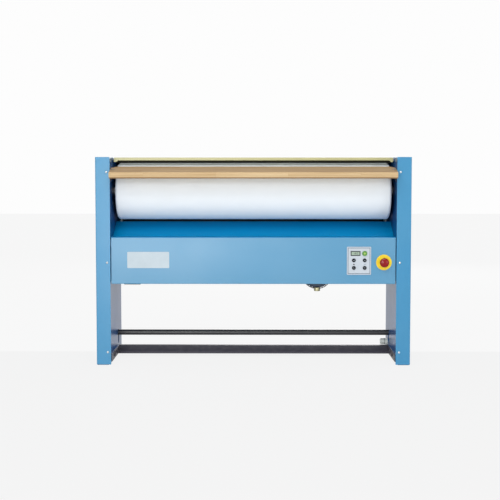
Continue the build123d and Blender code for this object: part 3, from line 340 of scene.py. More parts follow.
def weave_group():
    """Plain-woven cloth over the piece's own map, which is laid out in metres."""
    tree, given = shader_group(
        "plain_weave",
        {
            "Colour": (0.8, 0.8, 0.8, 1),
            "Soiled Colour": (0.7, 0.7, 0.68, 1),
            "Threads": 1500.0,
            "Thread Depth": 0.0001,
            "Soiling": 0.2,
            "Roughness": 0.85,
        },
    )
    place = object_place(tree)
    cut = put(tree, "ShaderNodeTexCoord").outputs["UV"]
    across, along = split(tree, cut)[:2]
    turns = times(tree, given["Threads"], pi)
    warp, weft = [calc(tree, "SINE", times(tree, value, turns)) for value in (across, along)]
    crossing = times(tree, warp, weft)
    slub = streaks(tree, cut, (30.0, 900.0, 1.0), 2.0, detail=2.0)
    height = plus(tree, crossing, times(tree, slub, 0.8))
    soil = times(tree, ranged(tree, clouds(tree, place, 5.0, 6.0), 0.45, 0.75), given["Soiling"])
    # Painted shade: the weave's low spots are darker.
    thread_crevice_shade = times(tree, ranged(tree, crossing, -1.0, 1.0, 1.0, 0.0), 0.1)
    colour = mixed(tree, plus(tree, soil, thread_crevice_shade), given["Colour"], given["Soiled Colour"])
    rough = plus(tree, given["Roughness"], times(tree, crossing, 0.05))
    return finish_group(tree, colour, rough, bumped(tree, height, given["Thread Depth"], strength=0.6))


def moulded_group():
    """Moulded plastic or a casting: a fine leathery skin and a faint change of tone."""
    tree, given = shader_group(
        "moulded_skin",
        {
            "Colour": (0.5, 0.5, 0.5, 1),
            "Second Colour": (0.4, 0.4, 0.4, 1),
            "Skin Scale": 900.0,
            "Skin Depth": 0.00003,
            "Roughness": 0.4,
        },
    )
    place = object_place(tree)
    cells = put(tree, "ShaderNodeTexVoronoi", {"Vector": place, "Scale": given["Skin Scale"]})
    cloudy = clouds(tree, place, 22.0, 5.0)
    colour = mixed(tree, ranged(tree, cloudy, 0.35, 0.7), given["Colour"], given["Second Colour"])
    rough = plus(tree, given["Roughness"], times(tree, cloudy, 0.1))
    return finish_group(tree, colour, rough, bumped(tree, cells, given["Skin Depth"]))


PAINT, METAL, GRAIN = paint_group(), metal_group(), grain_group()
WEAVE, MOULDED = weave_group(), moulded_group()


# ---------------------------------------------------------------- materials
def surfaced(name, group, values, **shader_values):
    """A material whose colour, roughness and normal come from a group, with its own values."""
    material = bpy.data.materials.new(name)
    material.use_nodes = True
    tree = material.node_tree
    shader = tree.nodes["Principled BSDF"]
    source = put(tree, "ShaderNodeGroup", values, node_tree=group)
    for label, socket in (("Colour", "Base Color"), ("Roughness", "Roughness"), ("Normal", "Normal")):
        tree.links.new(source.outputs[label], shader.inputs[socket])
    for label, value in shader_values.items():
        shader.inputs[label.replace("_", " ")].default_value = value
    return material


def painted(name, first, drift, roughness, dust=0.1, ripple=0.00004, inside=None, **shader_values):
    """Sprayed steel in one colour; behind a depth, the faces that look forwards may get a painted shade.
    """
    values = {
        "Colour": tone(*first),
        "Drift Colour": tone(*drift),
        "Ripple Depth": ripple,
        "Roughness": roughness,
        "Dust": dust,
    }
    if inside:
        depth, dark = inside
        values.update({"Painted Shade From": depth, "Inside Colour": tone(*dark)})
    return surfaced(name, PAINT, values, **shader_values)


def bare_metal(name, first, dull, roughness, direction=(4.0, 300.0, 300.0), patches=14.0):
    """Metal with no paint on it."""
    values = {
        "Colour": tone(*first),
        "Dull Colour": tone(*dull),
        "Line Direction": direction,
        "Patch Scale": patches,
        "Roughness": roughness,
    }
    return surfaced(name, METAL, values, Metallic=1.0)


def moulded(name, first, second, roughness, scale=900.0, depth=0.00003, **shader_values):
    """Plastic, a painted casting or ink."""
    values = {
        "Colour": tone(*first),
        "Second Colour": tone(*second),
        "Skin Scale": scale,
        "Skin Depth": depth,
        "Roughness": roughness,
    }
    return surfaced(name, MOULDED, values, **shader_values)


# Each row: two colours as they show on a screen, the roughness, and what differs from the usual.
PAINTS = {
    "casing_blue": ((82, 143, 179), (111, 157, 186), 0.34, dict(dust=0.08)),
    # The columns use a darker copy of the casing paint: painted shade.
    "column_shaded_blue": ((54, 134, 178), (82, 146, 180), 0.36, dict(dust=0.08)),
    # The rear panel's forward-facing faces get a painted shade.
    "rear_blue": ((82, 142, 176), (112, 158, 184), 0.36, dict(inside=(FRONT, (22, 25, 32)))),
    "plate_blue": ((16, 74, 130), (22, 80, 136), 0.3, dict(dust=0.0, ripple=0.00001)),
    "tray_blue": ((0, 134, 190), (0, 128, 184), 0.36, dict(dust=0.0, Specular_IOR_Level=0.2)),
    "black_paint": ((62, 60, 70), (68, 66, 75), 0.42, dict(dust=0.06, Specular_IOR_Level=0.3)),
    "bar_black": ((30, 32, 36), (38, 38, 42), 0.36, dict(dust=0.04, Specular_IOR_Level=0.6)),
    # The guard's channel faces behind its lip get a painted shade.
    "guard_yellow": (
        (186, 183, 134),
        (178, 175, 124),
        0.32,
        dict(dust=0.0, inside=(GUARD_FRONT + 6 * MM, (34, 33, 20))),
    ),
}
METALS = {
    "zinc_steel": ((205, 208, 210), (168, 172, 170), 0.26, dict(direction=(60.0, 60.0, 60.0))),
    "bare_steel": ((150, 150, 150), (112, 110, 106), 0.34, {}),
    "shoe_aluminium": ((196, 198, 200), (158, 158, 158), 0.28, {}),
    "gland_brass": ((176, 172, 140), (120, 116, 84), 0.38, dict(patches=60.0)),
}
MOULDINGS = {
    "cast_grey": ((92, 96, 100), (104, 108, 110), 0.5, dict(scale=260.0, depth=0.0002)),
    "motor_navy": ((24, 38, 56), (32, 46, 64), 0.42, dict(scale=380.0, depth=0.0001)),
    "label_white": ((178, 191, 198), (170, 184, 192), 0.34, dict(scale=1600.0, depth=0.00001)),
    "keypad_silver": ((190, 198, 206), (184, 192, 200), 0.36, dict(scale=1400.0, depth=0.00002)),
    "display_glass": ((160, 180, 160), (150, 172, 152), 0.14, dict(scale=400.0, depth=0.0)),
    "lamp_plastic": ((26, 22, 30), (40, 24, 30), 0.24, {}),
    "green_plastic": ((90, 144, 64), (82, 136, 58), 0.32, {}),
    "black_plastic": ((14, 20, 28), (20, 26, 34), 0.42, dict(Specular_IOR_Level=0.2)),
    "red_plastic": ((138, 0, 2), (126, 0, 2), 0.13, dict(scale=300.0, depth=0.0, Specular_IOR_Level=0.36)),
    "yellow_plastic": ((240, 208, 30), (236, 200, 24), 0.4, {}),
    "grey_plastic": ((232, 236, 230), (220, 226, 218), 0.45, {}),
    "pale_ink": ((196, 204, 210), (186, 194, 200), 0.4, {}),
    # Slate ink prints the dash and also draws the painted shade line within the keypad's rim.
    "slate_ink": ((84, 104, 124), (76, 94, 114), 0.4, {}),
    "lime_ink": ((176, 196, 96), (164, 186, 84), 0.4, {}),
    "dark_ink": ((34, 38, 44), (42, 46, 52), 0.4, {}),
}
finishes = {
    "beech": surfaced(
        "beech",
        GRAIN,
        {
            "Light": tone(212, 187, 146),
            "Dark": tone(172, 137, 90),
            # Painted shade with wear on the top, painted shade on the bottom edge, painted highlight on
            # the top edge.
            "Worn And Shaded Colour": tone(148, 114, 74),
            "Worn And Shaded Share": 0.8,
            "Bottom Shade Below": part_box("feed_board")[0].z + 4.5 * MM,
            "Bottom Shade Colour": tone(124, 92, 60),
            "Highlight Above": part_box("feed_board")[1].z - 3.0 * MM,
            "Highlight Colour": tone(240, 222, 184),
            "Roughness": 0.42,
        },
        Specular_IOR_Level=0.3,
    ),
    "cloth": surfaced(
        "cloth",
        WEAVE,
        {"Colour": tone(235, 240, 244), "Soiled Colour": tone(222, 226, 228), "Soiling": 0.1},
        Sheen_Weight=0.12,
        Sheen_Roughness=0.5,
    ),
    "felt": surfaced(
        "felt",
        WEAVE,
        {
            "Colour": tone(214, 210, 200),
            "Soiled Colour": tone(188, 182, 170),
            "Threads": 500.0,
            "Thread Depth": 0.0005,
            "Soiling": 0.5,
            "Roughness": 0.95,
        },
        Sheen_Weight=0.4,
    ),
}
for make, rows in ((painted, PAINTS), (bare_metal, METALS), (moulded, MOULDINGS)):
    for finish, (first, second, roughness, unusual) in rows.items():
        finishes[finish] = make(finish, first, second, roughness, **unusual)


# ---------------------------------------------------------------- finishes on the frame's own pieces
slot_of = {part["node"]: part["material_slot"] for part in frame["record"]["subparts"]}
OWN_FINISH = {
    "pedal_bar": "bar_black",
    # The column covers take the darker copy of the casing paint, a painted shade.
    "left_column_cover": "column_shaded_blue",
    "right_column_cover": "column_shaded_blue",
    "rear_panel": "rear_blue",
}
for node_name, node in nodes_of.items():
    node.data.materials.clear()
    node.data.materials.append(finishes[OWN_FINISH.get(node_name, slot_of[node_name])])


# ---------------------------------------------------------------- pieces and their base meshes
def placed(name, data):
    """A new object in the scene."""
    thing = bpy.data.objects.new(name, data)
    collection.link(thing)
    return thing


def settle(piece, slot, body, *stands_for):
    """Puts a finished piece on its body."""
    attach(piece, body)
    if stands_for:
        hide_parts(*stands_for)
    return piece


def plain_mesh(name, points, edges, faces):
    """A mesh from points, edges and faces."""
    mesh = bpy.data.meshes.new(name)
    mesh.from_pydata([tuple(point) for point in points], edges, faces)
    return mesh


def mesh_piece(name, points, faces, finish, smooth=True):
    """A new object from points and faces, with one finish."""
    mesh = plain_mesh(name, points, [], faces)
    mesh.materials.append(finishes[finish])
    mesh.polygons.foreach_set("use_smooth", [smooth] * len(mesh.polygons))
    return placed(name, mesh)


def spots(name, places):
    """Loose points, each with the way that it faces."""
    mesh = plain_mesh(name, [point for point, facing in places], [], [])
    facing_of = mesh.attributes.new("facing", "FLOAT_VECTOR", "POINT")
    facing_of.data.foreach_set("vector", [value for point, facing in places for value in facing])
    return mesh


def loops(name, rings):
    """Closed rings of points, joined by edges."""
    points, edges = [], []
    for ring in rings:
        first = len(points)
        points += ring
        edges += [(first + i, first + (i + 1) % len(ring)) for i in range(len(ring))]
    return plain_mesh(name, points, edges, [])


def outwards(piece):
    """Makes a closed piece's faces point outwards."""
    work = bmesh.new()
    work.from_mesh(piece.data)
    bmesh.ops.recalc_face_normals(work, faces=work.faces)
    work.to_mesh(piece.data)
    work.free()


# ---------------------------------------------------------------- geometry trees
def geometry_tree(name, inputs):
    """An empty tree that takes a geometry and named sizes, and gives a geometry."""
    tree = bpy.data.node_groups.new(name, "GeometryNodeTree")
    tree.interface.new_socket("Geometry", in_out="INPUT", socket_type="NodeSocketGeometry")
    named_inputs(tree, inputs)
    tree.interface.new_socket("Finish", in_out="INPUT", socket_type="NodeSocketMaterial")
    tree.interface.new_socket("Geometry", in_out="OUTPUT", socket_type="NodeSocketGeometry")
    return tree, tree.nodes.new("NodeGroupInput").outputs


def close_tree(tree, given, geometry):
    """Ends a tree as plain, finished mesh."""
    real = put(tree, "GeometryNodeRealizeInstances", {"Geometry": geometry})
    finished = put(tree, "GeometryNodeSetMaterial", {"Geometry": real, "Material": given["Finish"]})
    tree.links.new(finished.outputs[0], tree.nodes.new("NodeGroupOutput").inputs[0])
    return tree


def grown(name, base, tree, values, slot, body, *stands_for):
    """Runs a tree over a base mesh, keeps the result as a plain mesh and lets it ride."""
    piece = placed(name, base)
    modifier = piece.modifiers.new("grow", "NODES")
    modifier.node_group = tree
    sockets = {
        item.name: item.identifier
        for item in tree.interface.items_tree
        if item.item_type == "SOCKET" and item.in_out == "INPUT"
    }
    for label, value in {**values, "Finish": finishes[slot]}.items():
        modifier[sockets[label]] = value
    evaluated = piece.evaluated_get(bpy.context.evaluated_depsgraph_get())
    result = bpy.data.meshes.new_from_object(evaluated)
    piece.modifiers.clear()
    piece.data = result
    return settle(piece, slot, body, *stands_for)


def turned_to_facing(tree):
    """The turn that points an instance the way its spot faces."""
    facing = put(tree, "GeometryNodeInputNamedAttribute", {"Name": "facing"}, data_type="FLOAT_VECTOR")
    return put(tree, "FunctionNodeAlignRotationToVector", {"Vector": facing}, axis="Z")


def cube(tree, x, y, z):
    """A box round the origin."""
    return put(tree, "GeometryNodeMeshCube", {"Size": combined(tree, x, y, z)})


def cylinder(tree, sides, radius, depth):
    """A cylinder round the origin, along Z."""
    return put(tree, "GeometryNodeMeshCylinder", {"Vertices": sides, "Radius": radius, "Depth": depth})


def scaled_ball(tree, segments, rings, radius, height):
    """A ball round the origin, drawn out or pressed flat along Z."""
    inputs = {"Segments": segments, "Rings": rings, "Radius": 1.0}
    ball = put(tree, "GeometryNodeMeshUVSphere", inputs)
    sizes = combined(tree, radius, radius, height)
    return put(tree, "GeometryNodeTransform", {"Geometry": ball, "Scale": sizes})


def together(tree, parts):
    """Several geometries as one."""
    node = put(tree, "GeometryNodeJoinGeometry")
    for part in parts:
        fill(tree, node.inputs[0], part)
    return node


def on_points(tree, points, instance, rotation, **more):
    """An instance at each point."""
    inputs = {"Points": points, "Instance": instance, "Rotation": rotation, **more}
    return put(tree, "GeometryNodeInstanceOnPoints", inputs)


def screw_tree():
    """Pan-head screws with a cross recess, each turned its own way."""
    tree, given = geometry_tree(
        "pan_head_screws",
        {
            "Head Radius": 0.005,
            "Head Height": 0.003,
            "Recess Width": 0.0011,
            "Recess Length": 0.0056,
            "Recess Depth": 0.0016,
            "Turn Seed": 3,
        },
    )
    dome = scaled_ball(tree, 24, 12, given["Head Radius"], given["Head Height"])
    place = put(tree, "GeometryNodeInputPosition")
    flat = put(tree, "ShaderNodeVectorMath", {0: place, 1: (1.0, 1.0, 0.0)}, operation="MULTIPLY")
    below = put(tree, "FunctionNodeCompare", {0: split(tree, place)[2], 1: 0.0}, operation="LESS_THAN")
    seated = put(tree, "GeometryNodeSetPosition", {"Geometry": dome, "Selection": below, "Position": flat})
    width, length = given["Recess Width"], given["Recess Length"]
    depth = times(tree, given["Recess Depth"], 2.0)
    cross = together(tree, [cube(tree, length, width, depth), cube(tree, width, length, depth)])
    at_top = combined(tree, z=given["Head Height"])
    cutter = put(tree, "GeometryNodeTransform", {"Geometry": cross, "Translation": at_top})
    cut = {"Mesh 1": seated, "Mesh 2": cutter}
    head = put(tree, "GeometryNodeMeshBoolean", cut, operation="DIFFERENCE")
    limits = {2: 0.0, 3: pi / 2, "Seed": given["Turn Seed"]}
    turn = put(tree, "FunctionNodeRandomValue", limits, data_type="FLOAT")
    spin = put(tree, "FunctionNodeEulerToRotation", {0: combined(tree, z=turn.outputs[1])})
    rotation = put(
        tree,
        "FunctionNodeRotateRotation",
        {"Rotation": turned_to_facing(tree), "Rotate By": spin},
        rotation_space="LOCAL",
    )
    return close_tree(tree, given, on_points(tree, given["Geometry"], head, rotation))


def stitch_tree():
    """Short stitches that follow closed or open lines."""
    tree, given = geometry_tree(
        "running_stitches", {"Stitch Pitch": 0.006, "Stitch Length": 0.0042, "Thread Radius": 0.0004}
    )
    line = put(tree, "GeometryNodeMeshToCurve", {"Mesh": given["Geometry"]})
    steps = {"Curve": line, "Length": given["Stitch Pitch"]}
    even = put(tree, "GeometryNodeResampleCurve", steps, mode="LENGTH")
    half = calc(tree, "DIVIDE", given["Stitch Length"], 2.0)
    stitch = scaled_ball(tree, 8, 6, given["Thread Radius"], half)
    smooth = put(tree, "GeometryNodeSetShadeSmooth", {"Geometry": stitch})
    tangent = put(tree, "GeometryNodeInputTangent")
    along = put(tree, "FunctionNodeAlignRotationToVector", {"Vector": tangent}, axis="Z")
    return close_tree(tree, given, on_points(tree, even, smooth, along))


def rope_tree():
    """A round tube that follows closed or open lines."""
    tree, given = geometry_tree("round_hem", {"Hem Radius": 0.002, "Hem Sides": 10})
    line = put(tree, "GeometryNodeMeshToCurve", {"Mesh": given["Geometry"]})
    sizes = {"Resolution": given["Hem Sides"], "Radius": given["Hem Radius"]}
    ring = put(tree, "GeometryNodeCurvePrimitiveCircle", sizes, mode="RADIUS")
    tube = put(tree, "GeometryNodeCurveToMesh", {"Curve": line, "Profile Curve": ring, "Fill Caps": True})
    return close_tree(tree, given, put(tree, "GeometryNodeSetShadeSmooth", {"Geometry": tube}))


def chain_tree():
    """A roller chain along a closed loop in a plane square to X."""
    tree, given = geometry_tree(
        "roller_chain",
        {
            "Pitch": 0.0127,
            "Links": 80,
            "Plate Radius": 0.0055,
            "Plate Thickness": 0.0015,
            "Roller Radius": 0.00425,
            "Inner Width": 0.0078,
            "Plate Sides": 16,
        },
    )
    pitch, radius, thickness = given["Pitch"], given["Plate Radius"], given["Plate Thickness"]
    loop = put(tree, "GeometryNodeMeshToCurve", {"Mesh": given["Geometry"]})
    even = put(tree, "GeometryNodeResampleCurve", {"Curve": loop, "Count": given["Links"]}, mode="COUNT")
    tangent = put(tree, "GeometryNodeInputTangent")
    along = put(tree, "FunctionNodeAlignRotationToVector", {"Vector": tangent}, axis="X")
    upright = {"Rotation": along, "Vector": (1.0, 0.0, 0.0)}
    level = put(tree, "FunctionNodeAlignRotationToVector", upright, axis="Z", pivot_axis="X")

    def plate(offset):
        """One link plate with two round ends and a waist, at an offset from the chain's middle."""
        disc = cylinder(tree, given["Plate Sides"], radius, thickness)
        x, y, z = split(tree, put(tree, "GeometryNodeInputPosition"))
        middle_reach = times(tree, radius, 0.1)
        end = ranged(tree, x, times(tree, middle_reach, -1.0), middle_reach)
        waist = ranged(tree, calc(tree, "ABSOLUTE", x), 0.0, middle_reach, 0.65, 1.0)
        drawn_out = plus(tree, x, times(tree, end, pitch))
        place = combined(tree, drawn_out, times(tree, y, waist), plus(tree, z, offset))
        return put(tree, "GeometryNodeSetPosition", {"Geometry": disc, "Position": place})

    inner = plus(tree, times(tree, given["Inner Width"], 0.5), times(tree, thickness, 0.5))
    outer = plus(tree, inner, times(tree, thickness, 1.1))
    pin = cylinder(tree, 10, times(tree, given["Roller Radius"], 0.5), times(tree, outer, 2.4))
    roller = cylinder(tree, 12, given["Roller Radius"], given["Inner Width"])
    place_in_row = calc(tree, "MODULO", put(tree, "GeometryNodeInputIndex"), 2.0)
    odd = put(tree, "FunctionNodeCompare", {0: place_in_row, 1: 0.5}, operation="GREATER_THAN")
    not_odd = put(tree, "FunctionNodeBooleanMath", {0: odd}, operation="NOT")
    rows = []
    for offset, chosen in ((inner, not_odd), (outer, odd)):
        for side in (1.0, -1.0):
            link = plate(times(tree, offset, side))
            rows.append(on_points(tree, even, link, level, Selection=chosen))
    rows += [on_points(tree, even, part, level) for part in (pin, roller)]
    return close_tree(tree, given, together(tree, rows))


def rib_tree():
    """Flat cooling ribs that stand out from a round body lying along Y."""
    tree, given = geometry_tree(
        "cooling_ribs", {"Rib Thickness": 0.002, "Rib Length": 0.02, "Rib Reach": 0.006}
    )
    rib = cube(tree, given["Rib Thickness"], given["Rib Length"], given["Rib Reach"])
    return close_tree(tree, given, on_points(tree, given["Geometry"], rib, turned_to_facing(tree)))


SCREWS, STITCHES, ROPE, CHAIN, RIBS = screw_tree(), stitch_tree(), rope_tree(), chain_tree(), rib_tree()


# ---------------------------------------------------------------- rounded edges on the frame's pieces
BODY_OF = {
    node_name: body
    for body, members in frame["record"]["behaviour"]["bodies"].items()
    for node_name in members
}
MADE_HERE = {"roller_cover", "roller_padding", "column_screws", "drive_chain"}
USUAL_EDGE = 0.35 * MM
EDGE_WIDTHS = {
    "feed_board": 1.6 * MM,
    "left_column_cover": 0.8 * MM,
    "right_column_cover": 0.8 * MM,
    "front_panel": 0.8 * MM,
    "base_stretcher": 0.8 * MM,
}
SHARP = 0.55
NEARLY_FLAT = 0.01
SAME_POINT = MM / 500


def edge_finished(node_name, width):
    """A merged copy of a frame piece: its curves run smooth and its edges are slightly rounded."""
    work = bmesh.new()
    work.from_mesh(nodes_of[node_name].data)
    bmesh.ops.remove_doubles(work, verts=work.verts, dist=SAME_POINT)
    bmesh.ops.dissolve_limit(work, angle_limit=NEARLY_FLAT, verts=work.verts, edges=work.edges)
    for edge in work.edges:
        edge.smooth = len(edge.link_faces) == 2 and edge.calc_face_angle() < SHARP
    for face in work.faces:
        face.smooth = True
    mesh = bpy.data.meshes.new(node_name + "_finished")
    work.to_mesh(mesh)
    work.free()
    mesh.materials.append(nodes_of[node_name].data.materials[0])
    piece = placed(node_name + "_finished", mesh)
    rounding = piece.modifiers.new("rounding", "BEVEL")
    rounding.width = width
    rounding.segments = 2
    rounding.limit_method = "ANGLE"
    rounding.angle_limit = SHARP
    rounding.harden_normals = True
    return settle(piece, slot_of[node_name], BODY_OF[node_name], node_name)


for node_name in sorted(set(nodes_of) - MADE_HERE):
    edge_finished(node_name, EDGE_WIDTHS.get(node_name, USUAL_EDGE))


# ---------------------------------------------------------------- the roller's cloth and felt
CLOTH_THICKNESS = 1.0 * MM
OPENING_RADIUS = 92.0 * MM
SHOULDER = 11.0 * MM
SHOULDER_SLACK = 0.25
FOLD_DEPTH = 3.2 * MM
CLOTH_WAVE = 0.35 * MM
SEAM_STEP = 0.8 * MM
SEAM_ANGLE = 0.79 * tau
SEAM_WIDTH = 0.4
AROUND = 240
FACE_RINGS = 10
SHOULDER_RINGS = 6
BODY_RINGS = 44
CROWDING = 1.6
HEM_RADIUS = 1.8 * MM
STITCH_RING = 3
STITCH_LIFT = 0.35 * MM
FELT_THICKNESS = 8.0 * MM
FELT_SHOULDER = 6.0 * MM
FELT_WAVE = 0.3 * MM
FELT_AROUND = 96


def cloth_stations(side):
    """From the drawn hem to the roller's middle: x, radius, and how slack the cloth is there."""
    inner_edge, straight = ROLLER_RADIUS - SHOULDER, ROLLER_HALF - SHOULDER
    stations = []
    for step in range(FACE_RINGS):
        share = step / FACE_RINGS
        radius = OPENING_RADIUS + share * (inner_edge - OPENING_RADIUS)
        stations.append((ROLLER_HALF, radius, 1 - (1 - SHOULDER_SLACK) * share))
    for step in range(SHOULDER_RINGS):
        turn = pi / 2 * step / SHOULDER_RINGS
        slack = SHOULDER_SLACK * (1 - step / SHOULDER_RINGS)
        stations.append((straight + SHOULDER * cos(turn), inner_edge + SHOULDER * sin(turn), slack))
    for step in range(BODY_RINGS):
        stations.append((straight * (1 - step / BODY_RINGS) ** CROWDING, ROLLER_RADIUS, 0.0))
    return [(side * x, radius, slack) for x, radius, slack in stations]


def gathers(angle, side):
    """How far the cloth of a drawn end stands out at an angle, from 0 to 1."""
    phase = 1.9 if side > 0 else 0.4
    bunching = 1.4 * sin(3 * angle + phase) + 0.7 * sin(5 * angle - 2 * phase)
    wide = 0.5 + 0.5 * sin(17 * angle + bunching + phase)
    narrow = 0.5 + 0.5 * sin(41 * angle - 2 * bunching)
    return 0.7 * wide**1.5 + 0.3 * narrow


def cloth_point(x, radius, slack, angle, share, side):
    """A point of the cloth: gathered at the ends, and wound with a lap along the roller."""
    stand = FOLD_DEPTH * slack**2 * gathers(angle, side)
    ripple = CLOTH_WAVE * noise.noise((x * 6.0, cos(angle) * 1.5, sin(angle) * 1.5))
    wound = radius - SEAM_STEP * share + (ripple if slack == 0 else 0)
    return Vector((x + side * stand, ROLLER.y + wound * cos(angle), ROLLER.z + wound * sin(angle)))


def wound_angles():
    """The angles of one turn from lap to lap, the last a hair before the first."""
    shares = [step / AROUND for step in range(AROUND)] + [1 - SEAM_WIDTH / AROUND]
    return [(SEAM_ANGLE + share * tau, share) for share in shares]


def roller_cloth():
    """The cover: one sheet wound on the roller, its two ends drawn in over the discs."""
    stations = cloth_stations(-1) + [(0.0, ROLLER_RADIUS, 0.0)] + cloth_stations(1)[::-1]
    angles = wound_angles()
    points, lengths = [], [0.0]
    for before, after in zip(stations, stations[1:]):
        lengths.append(lengths[-1] + hypot(after[0] - before[0], after[1] - before[1]))
    for x, radius, slack in stations:
        side = -1 if x < 0 else 1
        points += [cloth_point(x, radius, slack, angle, share, side) for angle, share in angles]
    count = len(angles)
    faces, cuts = [], []
    for ring in range(len(stations) - 1):
        for step in range(count):
            after = (step + 1) % count
            first, second = ring * count, (ring + 1) * count
            faces.append((first + step, second + step, second + after, first + after))
            u_here = step / count * tau * ROLLER_RADIUS
            u_next = (step + 1) / count * tau * ROLLER_RADIUS
            v_here, v_next = lengths[ring], lengths[ring + 1]
            cuts += [u_here, v_here, u_here, v_next, u_next, v_next, u_next, v_here]
    piece = mesh_piece("roller_cloth", points, faces, "cloth")
    piece.data.uv_layers.new(name="cut").data.foreach_set("uv", cuts)
    wall = piece.modifiers.new("wall", "SOLIDIFY")
    wall.thickness = CLOTH_THICKNESS
    wall.offset = -1
    settle(piece, "cloth", "roller", "roller_cover")
    return [points[:count], points[-count:]], stations


def ring_on_cloth(station, side, lift):
    """A ring of points that lies on the cloth at one of its stations, lifted outwards."""
    out = Vector((side * lift, 0, 0))
    return [cloth_point(*station, angle, share, side) + out for angle, share in wound_angles()[:-1]]


def roller_felt():
    """The padding: felt wound on the tube, a little soft at its two shoulders."""
    low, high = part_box("roller_padding")
    half, outer = high.x, (high.z - low.z) / 2
    inner, soft = outer - FELT_THICKNESS, FELT_SHOULDER
    turns = [step * pi / 12 for step in range(7)]
    section = [(half, inner)]
    section += [(half - soft + soft * cos(turn), outer - soft + soft * sin(turn)) for turn in turns]
    section += [(half * (1 - step / 12), outer) for step in range(1, 12)]
    outline = section + [(-x, radius) for x, radius in section[::-1]]
    points = []
    for x, radius in outline:
        for step in range(FELT_AROUND):
            angle = tau * step / FELT_AROUND
            wave = FELT_WAVE * noise.noise((x * 8, 3 * cos(angle), 3 * sin(angle)))
            reach = radius + (wave if radius > inner else 0) - FELT_WAVE
            points.append((x, ROLLER.y + reach * cos(angle), ROLLER.z + reach * sin(angle)))
    faces = []
    for ring in range(len(outline)):
        here, there = ring * FELT_AROUND, (ring + 1) % len(outline) * FELT_AROUND
        for step in range(FELT_AROUND):
            after = (step + 1) % FELT_AROUND
            faces.append((here + step, here + after, there + after, there + step))
    piece = mesh_piece("roller_felt", points, faces, "felt")
    outwards(piece)
    settle(piece, "felt", "roller", "roller_padding")


roller_felt()
hem_rings, cover_stations = roller_cloth()
grown("cover_hems", loops("hems", hem_rings), ROPE, {"Hem Radius": HEM_RADIUS}, "cloth", "roller")
stitch_rings = [
    ring_on_cloth(cover_stations[STITCH_RING], -1, STITCH_LIFT),
    ring_on_cloth(cover_stations[-1 - STITCH_RING], 1, STITCH_LIFT),
]
grown("cover_stitches", loops("stitch_lines", stitch_rings), STITCHES, {}, "felt", "roller")


# ---------------------------------------------------------------- screws
SCREW_HEAD = 5.0 * MM
LOUVRE_HOOD = 6.0 * MM
PANEL_SCREW_EDGE = 14.0 * MM
PANEL_SCREW_END = 30.0 * MM
PANEL_SCREW_ROWS = 4
SUNK_CLEARANCE = 0.2 * MM
SUNK_HEIGHT = 1.1 * MM

screws_low, screws_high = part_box("column_screws")
screw_x = screws_high.x - SCREW_HEAD
screw_z = [screws_low.z + SCREW_HEAD, (screws_low.z + screws_high.z) / 2, screws_high.z - SCREW_HEAD]


def column_spots(y, facing):
    """A place for each screw on one side of both columns."""
    return [((side * screw_x, y, z), (0, facing, 0)) for side in (-1, 1) for z in screw_z]


def panel_spots():
    """Places down both edges of the rear panel."""
    low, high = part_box("rear_panel")
    places = []
    for step in range(PANEL_SCREW_ROWS):
        share = step / (PANEL_SCREW_ROWS - 1)
        z = low.z + PANEL_SCREW_END + share * (high.z - low.z - 2 * PANEL_SCREW_END)
        x, y = high.x - PANEL_SCREW_EDGE, high.y - LOUVRE_HOOD
        places += [((side * x, y, z), (0, 1, 0)) for side in (-1, 1)]
    return places


def screw_heads(name, places, values, body, *stands_for):
    """Screw heads at places that say which way they face."""
    grown(name, spots(name + "_spots", places), SCREWS, values, "zinc_steel", body, *stands_for)


screw_heads("column_screw_heads", column_spots(FRONT, -1), {}, "frame", "column_screws")
screw_heads("rear_screws", column_spots(REAR, 1) + panel_spots(), {"Turn Seed": 8}, "frame")
sunk_low, sunk_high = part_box("feed_board_screws")
sunk_y, sunk_radius = (sunk_low.y + sunk_high.y) / 2, (sunk_high.y - sunk_low.y) / 2
screw_heads(
    "board_screw_heads",
    [((side * (sunk_high.x - sunk_radius), sunk_y, sunk_high.z), (0, 0, 1)) for side in (-1, 1)],
    {"Head Radius": sunk_radius - SUNK_CLEARANCE, "Head Height": SUNK_HEIGHT, "Turn Seed": 5},
    BODY_OF["feed_board_screws"],
)


# ---------------------------------------------------------------- marks on the keypad
def raised(name, inner, outer, base_y, proud, finish, body="frame"):
    """A thin band between two outlines of (x, z), or a solid shape where there is no inner one."""
    count = len(outer)
    points = [(x, base_y, z) for x, z in outer] + [(x, base_y - proud, z) for x, z in outer]
    faces = [(i, (i + 1) % count, count + (i + 1) % count, count + i) for i in range(count)]
    if inner:
        points += [(x, base_y, z) for x, z in inner] + [(x, base_y - proud, z) for x, z in inner]
        for i in range(count):
            j = (i + 1) % count
            faces.append((count + i, count + j, 3 * count + j, 3 * count + i))
            faces.append((3 * count + i, 3 * count + j, 2 * count + j, 2 * count + i))
            faces.append((i, j, 2 * count + j, 2 * count + i))
    else:
        faces += [tuple(range(count, 2 * count)), tuple(range(count - 1, -1, -1))]
    piece = mesh_piece(name, points, faces, finish, smooth=False)
    outwards(piece)
    settle(piece, finish, body)


def round_outline(x, z, radius, sides=28, start=0.0):
    """A regular outline round a point."""
    turns = [start + tau * step / sides for step in range(sides)]
    return [(x + radius * cos(turn), z + radius * sin(turn)) for turn in turns]


def bar_outline(x, z, across, up):
    """The outline of a bar round a point, from its half sizes."""
    return [(x - across, z - up), (x + across, z - up), (x + across, z + up), (x - across, z + up)]


def box_outline(low, high, inset):
    """The outline of a box's front, drawn in."""
    left, right, bottom, top = low.x + inset, high.x - inset, low.z + inset, high.z - inset
    return [(left, bottom), (right, bottom), (right, top), (left, top)]


def button_mark(name, button, finish, body, radius, hole=None, sides=28, start=0.0):
    """A ring or a few-sided mark on the middle of a button."""
    spot, face = middle(button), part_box(button)[0].y
    outer = round_outline(spot.x, spot.z, radius, sides, start)
    inner = round_outline(spot.x, spot.z, hole, sides, start) if hole else None
    raised(name, inner, outer, face, MARK_PROUD, finish, body)


